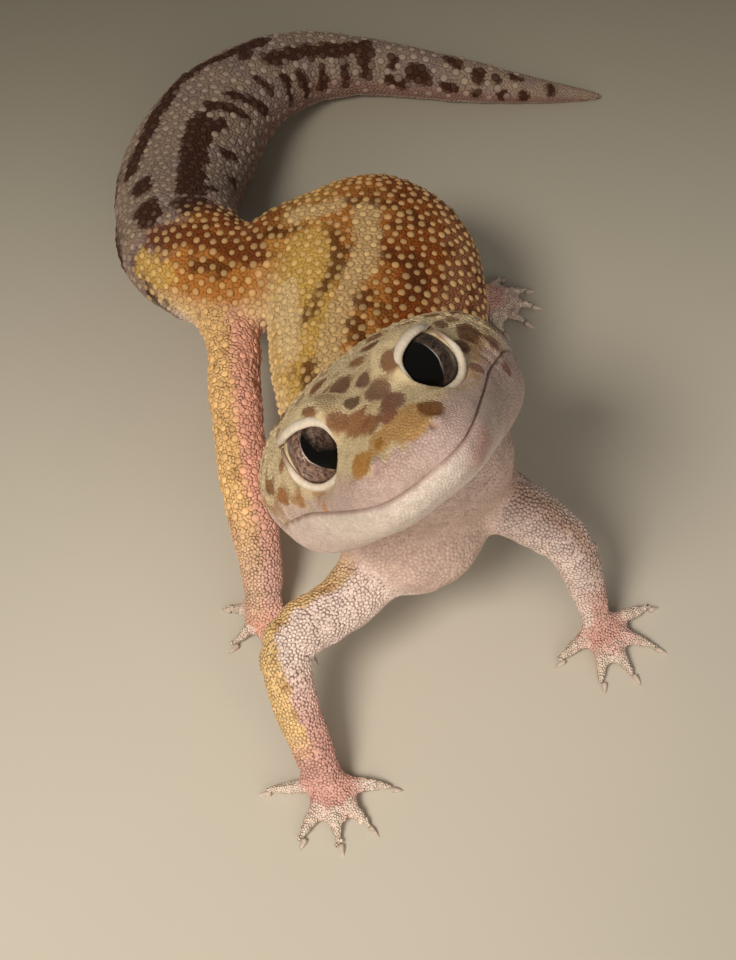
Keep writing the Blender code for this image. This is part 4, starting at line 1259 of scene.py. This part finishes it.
class SkinSurface:
    # The finished skin as something to grow on, in table millimetres.
    def __init__(self, obj):
        mesh = obj.data
        mesh.calc_loop_triangles()
        corners = np.empty(len(mesh.loop_triangles) * 3, dtype=np.int32)
        mesh.loop_triangles.foreach_get("vertices", corners)
        self.corners = corners.reshape(-1, 3)
        self.points = toTable(readPoints(obj))
        self.normals = readNormals(obj)
        self.tree = BVHTree.FromPolygons(self.points.tolist(), self.corners.tolist())
        a, b, c = (self.points[self.corners[:, k]] for k in range(3))
        self.areas = np.linalg.norm(np.cross(b - a, c - a), axis=1) / 2

    def snap(self, points):
        # The nearest places on the skin and their triangles.
        onto = np.empty((len(points), 3))
        faces = np.empty(len(points), dtype=np.int64)
        find = self.tree.find_nearest
        for k, point in enumerate(points.tolist()):
            onto[k], _, faces[k], _ = find(point)
        return onto, faces

    def weights(self, points, faces):
        # How much of each corner a point has.
        a, b, c = (self.points[self.corners[faces, k]] for k in range(3))
        ab, ac, ap = b - a, c - a, points - a
        d00, d01, d11 = (ab * ab).sum(1), (ab * ac).sum(1), (ac * ac).sum(1)
        d20, d21 = (ap * ab).sum(1), (ap * ac).sum(1)
        below = np.maximum(d00 * d11 - d01 * d01, 1e-12)
        v, w = (d11 * d20 - d01 * d21) / below, (d00 * d21 - d01 * d20) / below
        return np.clip(np.stack([1 - v - w, v, w], 1), 0, 1)

    def carried(self, values, points, faces):
        weights = self.weights(points, faces)
        return (values[self.corners[faces]] * weights[..., None]).sum(1)


def treeOf(points):
    tree = KDTree(len(points))
    for k, point in enumerate(points.tolist()):
        tree.insert(point, k)
    tree.balance()
    return tree


def scatter(surface, spacingOf, seed, rounds, around=None):
    # Roots spread evenly over the skin at the wanted spacing, pushed apart until they lie like scales.
    random = np.random.default_rng(seed)
    spacing = spacingOf(surface.points)
    each = spacing[surface.corners].min(1)
    density = np.where(each > 0, surface.areas / (0.866 * np.maximum(each, 0.05) ** 2), 0)
    reach = np.cumsum(density)
    count = int(reach[-1])
    faces = np.searchsorted(reach, (np.arange(count) + random.random(count)) / count * reach[-1])
    faces = np.minimum(faces, len(each) - 1)
    r1, r2 = np.sqrt(random.random(count)), random.random(count)
    weights = np.stack([1 - r1, r1 * (1 - r2), r1 * r2], 1)
    roots = (surface.points[surface.corners[faces]] * weights[..., None]).sum(1)
    for _ in range(rounds):
        size = each[faces]
        size = np.where(size > 0, size, spacing[surface.corners[faces]].max(1))
        near = np.empty((count, 7), dtype=np.int64)
        find = treeOf(roots).find_n
        for k, root in enumerate(roots.tolist()):
            near[k] = [one[1] for one in find(root, 7)]
        away = roots[:, None, :] - roots[near[:, 1:]]
        apart = np.maximum(np.linalg.norm(away, axis=2), 1e-6)
        wanted = np.maximum(size, 0.05)[:, None] * coatLook["loose"]
        push = (away / apart[..., None] * np.maximum(wanted - apart, 0)[..., None]).sum(1)
        roots = roots + push * coatLook["push"]
        if around is not None:
            keepOff(roots, size, around)
        roots, faces = surface.snap(roots)
    size = each[faces]
    keep = size > 0
    if around is not None:
        keep &= awayFrom(roots, size, around)
    return roots[keep], faces[keep], size[keep]


def nearestOf(places, roots):
    find = treeOf(places).find
    return np.array([find(root)[1] for root in roots.tolist()])


def keepOff(roots, size, around):
    # Roots too near a tubercle are pushed to its edge.
    places, sizes = around
    which = nearestOf(places, roots)
    away = roots - places[which]
    apart = np.maximum(np.linalg.norm(away, axis=1), 1e-6)
    short = np.maximum(sizes[which] / 2 + size * coatLook["clear"] - apart, 0)
    roots += away / apart[:, None] * short[:, None]


def awayFrom(roots, size, around):
    places, sizes = around
    which = nearestOf(places, roots)
    apart = np.linalg.norm(roots - places[which], axis=1)
    return apart > sizes[which] / 2 + size * coatLook["under"]


def ringOf(count, radius, height, turn):
    angles = (np.arange(count) / count + turn / count) * 2 * math.pi
    return np.column_stack([np.cos(angles) * radius, np.sin(angles) * radius, np.full(count, height)])


def domeTemplate(sides, rings, top, bottom):
    # A closed dome of triangles: rings of (radius, height), each turned half a step, between two poles.
    points = [np.array([(0, 0, bottom)])]
    faces = []
    for level, (radius, height) in enumerate(rings):
        points.append(ringOf(sides, radius, height, 0.5 * level))
    points.append(np.array([(0, 0, top)]))
    last = 1 + sides * len(rings)
    for k in range(sides):
        after = (k + 1) % sides
        faces.append((0, 1 + after, 1 + k))
        for level in range(len(rings) - 1):
            low, high = 1 + sides * level, 1 + sides * (level + 1)
            faces.append((low + k, low + after, high + k))
            faces.append((high + k, low + after, high + after))
        faces.append((last - sides + k, last - sides + after, last))
    points = np.concatenate(points)
    # How far up each point stands: 0 at the base, 1 half way up; scales are darkened below, partly as darker
    # skin between scales, partly as painted shade.
    shade = ramp(points[:, 2], rings[0][1] - 0.05, (top + rings[0][1]) / 2)
    return points, np.array(faces), shade


# Shapes for a spacing of 1: sides, rings, top and bottom.
granule = domeTemplate(6, ((0.54, -0.02), (0.36, 0.15)), 0.215, -0.25)
smallGranule = domeTemplate(6, ((0.62, -0.04),), 0.2, -0.3)
tubercle = domeTemplate(9, ((0.5, -0.08), (0.44, 0.15), (0.24, 0.3)), 0.35, -0.2)


def growPieces(name, kind, roots, normals, sizes, relief, colours, patches, seed, paintwork):
    # Joined meshes with one copy of the shape at each root, turned to the skin there.
    shape, faces, shade = kind
    random = np.random.default_rng(seed)
    most = coatLook["most"] // len(faces)
    parts = max(1, math.ceil(len(roots) / most))
    for part in range(parts):
        chosen = slice(part * len(roots) // parts, (part + 1) * len(roots) // parts)
        root, normal, size = roots[chosen], normals[chosen], sizes[chosen]
        count = len(root)
        helper = np.where(np.abs(normal[:, 2:]) > 0.8, (1.0, 0, 0), (0, 0, 1.0))
        first = unitRows(np.cross(helper, normal))
        second = np.cross(normal, first)
        turn = random.random(count)[:, None] * 2 * math.pi
        across = first * np.cos(turn) + second * np.sin(turn)
        along = np.cross(normal, across)
        wide = size * (0.94 + 0.12 * random.random(count))
        tall = size * relief[chosen] * (0.85 + 0.35 * random.random(count))
        points = (root[:, None, :] + across[:, None, :] * (shape[None, :, :1] * wide[:, None, None])
                  + along[:, None, :] * (shape[None, :, 1:2] * wide[:, None, None])
                  + normal[:, None, :] * (shape[None, :, 2:] * tall[:, None, None]))
        points = points.reshape(-1, 3)
        points[:, 2] = np.maximum(points[:, 2], coatLook["lowest"])
        corners = (faces[None] + (np.arange(count) * len(shape))[:, None, None]).reshape(-1)
        mesh = bpy.data.meshes.new(name + ("_%d" % (part + 1) if parts > 1 else ""))
        mesh.vertices.add(len(points))
        mesh.vertices.foreach_set("co", toScene(points).ravel())
        mesh.loops.add(len(corners))
        mesh.loops.foreach_set("vertex_index", corners)
        mesh.polygons.add(len(corners) // 3)
        mesh.polygons.foreach_set("loop_start", np.arange(0, len(corners), 3))
        mesh.update(calc_edges=True)
        # The faces round the pole below are flat, so that they don't shade the ones above.
        mesh.polygons.foreach_set("use_smooth", np.tile((faces > 0).all(1), count))
        # Each scale's colour darkens towards its base: partly darker skin between scales, partly painted
        # shade in the hollows.
        groove = 1 - 0.3 * np.clip(relief[chosen], 0, 1)[:, None]
        tint = colours[chosen][:, None, :] * (groove + (1 - groove) * shade[None, :])[..., None]
        coat = bpy.data.objects.new(mesh.name, mesh)
        bpy.context.collection.objects.link(coat)
        setColours(coat, np.clip(tint.reshape(-1, 3), 0, 1))
        bake = mesh.uv_layers.new(name="OFBake")
        spread = patches[chosen][:, None, :] + shape[None, :, :2] * coatLook["patch"]
        bake.data.foreach_set("uv", np.clip(spread.reshape(-1, 2), 0, 1)[corners].ravel())
        mesh.materials.append(paintwork)
        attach(coat, "root")


def unwrapOfSkin(skin):
    # A lighter copy of the skin, unwrapped, to give each root its place on a map.
    light = skin.copy()
    light.data = skin.data.copy()
    bpy.context.collection.objects.link(light)
    share = coatLook["lightFaces"] / len(light.data.polygons)
    applyModifier(light, "DECIMATE", ratio=share, use_collapse_triangulate=True)
    workOn(light)
    bpy.ops.object.mode_set(mode="EDIT")
    bpy.ops.mesh.select_all(action="SELECT")
    bpy.ops.uv.smart_project(angle_limit=math.radians(coatLook["islandAngle"]),
                             island_margin=coatLook["islandGap"])
    bpy.ops.object.mode_set(mode="OBJECT")
    surface = SkinSurface(light)
    mesh = light.data
    flat = np.empty(len(mesh.loops) * 2)
    mesh.uv_layers.active.data.foreach_get("uv", flat)
    corners = np.empty(len(mesh.loop_triangles) * 3, dtype=np.int32)
    mesh.loop_triangles.foreach_get("loops", corners)
    flat = flat.reshape(-1, 2)[corners.reshape(-1, 3)]
    bpy.data.objects.remove(light)
    return surface, flat


def patchesAt(unwrap, roots):
    surface, flat = unwrap
    onto, faces = surface.snap(roots)
    weights = surface.weights(onto, faces)
    return (flat[faces] * weights[..., None]).sum(1)


def growCoat(skin):
    coats, bumpy = coatLook, tubercleLook
    surface = SkinSurface(skin)
    values = np.empty(len(skin.data.vertices) * 4)
    skin.data.color_attributes["markings"].data.foreach_get("color", values)
    values = values.reshape(-1, 4)[:, :3]
    unwrap = unwrapOfSkin(skin)
    coatPaint = skinMaterial("gecko_scales", coatFinish)
    random = np.random.default_rng(coats["tintSeed"])

    bumps, faces, spacing = scatter(surface, tubercleSpacing, bumpy["rootSeed"], bumpy["rounds"])
    sizes = spacing * bumpy["size"] * (0.85 + 0.3 * random.random(len(bumps)))
    normals = unitRows(surface.carried(surface.normals, bumps, faces))
    found = placesOf(bumps)
    onTail = found["rear"]["share"] * ramp(found["rear"]["place"], 4.4, 5.0)
    onBody = found["trunk"]["share"] + found["rear"]["share"] - onTail
    pearl = mixed(bodyColours["pearl"], tailColours["pearl"], onTail)
    below = markingsAt(bumps)
    light = ramp(below.mean(1), 0.04, 0.2)
    share = onBody * bumpy["bodyPearl"] + onTail * bumpy["tailPearl"] * light + 0.03
    colours = mixed(below, pearl, np.clip(share, 0, 0.6))
    colours = colours * (0.88 + 0.24 * random.random((len(bumps), 1)))
    relief = np.clip(bumpy["relief"] + bumpy["bodyRelief"] * onBody + bumpy["tailRelief"] * onTail, 0, 1)
    growPieces("tubercles", tubercle, bumps, normals, sizes, relief, colours,
               patchesAt(unwrap, bumps), bumpy["turnSeed"], coatPaint)
    print("tubercles:", len(bumps))

    roots, faces, spacing = scatter(surface, granuleSpacing, coats["rootSeed"], coats["rounds"],
                                    (bumps, sizes))
    normals = unitRows(surface.carried(surface.normals, roots, faces))
    colours = markingsAt(roots) * (0.9 + 0.2 * random.random((len(roots), 1)))
    patches = patchesAt(unwrap, roots)
    found = placesOf(roots)
    trunk = found["trunk"]
    relief = (coats["relief"] + coats["trunkRelief"] * trunk["share"] * ramp(trunk["place"], 2.2, 3.8)
              * ramp(np.abs(trunk["angle"]), 115, 80) + coats["rearRelief"] * found["rear"]["share"])
    relief = relief + coats["snoutRelief"] * found["head"]["share"] * ramp(toHead(roots)[:, 0], 1, 6)
    order = list(found)
    owner = np.argmin([found[name]["score"] for name in order], axis=0)
    groups = {
        "scales_head": ("brown_skin", granule, ("head",)),
        "scales_body": ("yellow_skin", granule, ("trunk",)),
        "scales_tail": ("tail_skin", granule, ("rear",)),
        "scales_limbs": ("yellow_skin", smallGranule, ("armRight", "armLeft", "legRight", "legLeft")),
        "scales_feet": ("pink_skin", smallGranule, tuple(feet)),
    }
    for name, (slot, kind, owners) in groups.items():
        chosen = np.isin(owner, [order.index(one) for one in owners])
        growPieces(name, kind, roots[chosen], normals[chosen], spacing[chosen], relief[chosen],
                   colours[chosen], patches[chosen], coats["turnSeed"], coatPaint)
        print(name + ":", int(chosen.sum()), "of", len(kind[1]), "faces each")


growCoat(skin)
print("coat done")


# Floor, light and camera.
# The floor's colours, and where and how far painted shade darkens it towards the back.
floorLook = {"size": 4.0, "low": "#bdb4a3", "high": "#c9c0b0", "cloud": 14.0, "darkFrom": -0.03,
             "darkTo": 0.1, "dark": (0.42, 0.41, 0.36, 1), "roughness": 0.85}


def floorMaterial():
    look = floorLook
    material, nodes, shader = newMaterial("studio_floor", {"Roughness": look["roughness"]})
    place = addNode(nodes, "TexCoord").outputs["Object"]
    cloud = addNode(nodes, "TexNoise", Vector=place, Scale=look["cloud"], Detail=3.0).outputs["Fac"]
    tone = addTones(nodes, cloud, (0, paint(look["low"])), (1, paint(look["high"])))
    # Painted shade: the floor grows darker towards the back.
    back = addNode(nodes, "SeparateXYZ", Vector=place).outputs["Y"]
    depth = addNode(nodes, "MapRange", interpolation_type="SMOOTHSTEP", Value=back)
    setInputs(depth, {"From Min": look["darkFrom"], "From Max": look["darkTo"]})
    setInputs(shader, {"Base Color": addMix(nodes, "MULTIPLY", depth.outputs["Result"], tone, look["dark"])})
    return material


deselectAll()
bpy.ops.mesh.primitive_plane_add(size=floorLook["size"], location=(0, 0, 0))
floor = bpy.context.active_object
floor.name = "studio_floor"
floor.data.materials.append(floorMaterial())

lightLook = {
    "key": {"kind": "SPOT", "place": (-0.21, -0.33, 0.41), "aim": (-0.045, -0.075, 0), "power": 16.0,
            "colour": (1.0, 0.95, 0.88),
            "shape": {"spot_size": math.radians(33), "spot_blend": 1.0, "shadow_soft_size": 0.11}},
    "fill": {"kind": "AREA", "place": (0.1, -0.42, 0.18), "aim": (0, 0, 0.02), "power": 0.9,
             "colour": (1.0, 0.97, 0.92), "shape": {"size": 0.35}},
}
for name, look in lightLook.items():
    light = bpy.data.lights.new(name, look["kind"])
    light.energy = look["power"]
    light.color = look["colour"]
    for setting, value in look["shape"].items():
        setattr(light, setting, value)
    lamp = bpy.data.objects.new(name, light)
    lamp.location = look["place"]
    lamp.rotation_euler = (Vector(look["aim"]) - lamp.location).to_track_quat("-Z", "Y").to_euler()
    lamp.visible_glossy = False
    bpy.context.collection.objects.link(lamp)

worldLook = {"Color": (1.0, 0.96, 0.9, 1), "Strength": 0.16}
world = bpy.data.worlds.new("studio")
world.use_nodes = True
setInputs(world.node_tree.nodes["Background"], worldLook)
bpy.context.scene.world = world
bpy.context.scene.view_settings.view_transform = "Standard"

cameraLook = {"place": (-0.7284, -100.951, 160.0), "down": 51.5, "roll": -4.3, "lens": 75.0}
down, roll = math.radians(cameraLook["down"]), math.radians(cameraLook["roll"])
ahead = Vector((0, math.cos(down), -math.sin(down)))
level, above = Vector((1, 0, 0)), Vector((0, math.sin(down), math.cos(down)))
rightward = level * math.cos(roll) + above * math.sin(roll)
upward = above * math.cos(roll) - level * math.sin(roll)
camera = bpy.data.objects.new("camera", bpy.data.cameras.new("camera"))
camera.data.lens = cameraLook["lens"]
camera.data.clip_start = 0.005
turned = Matrix((rightward, upward, -ahead)).transposed().to_4x4()
camera.matrix_world = Matrix.Translation(Vector(toScene(cameraLook["place"]))) @ turned
bpy.context.collection.objects.link(camera)
bpy.context.scene.camera = camera
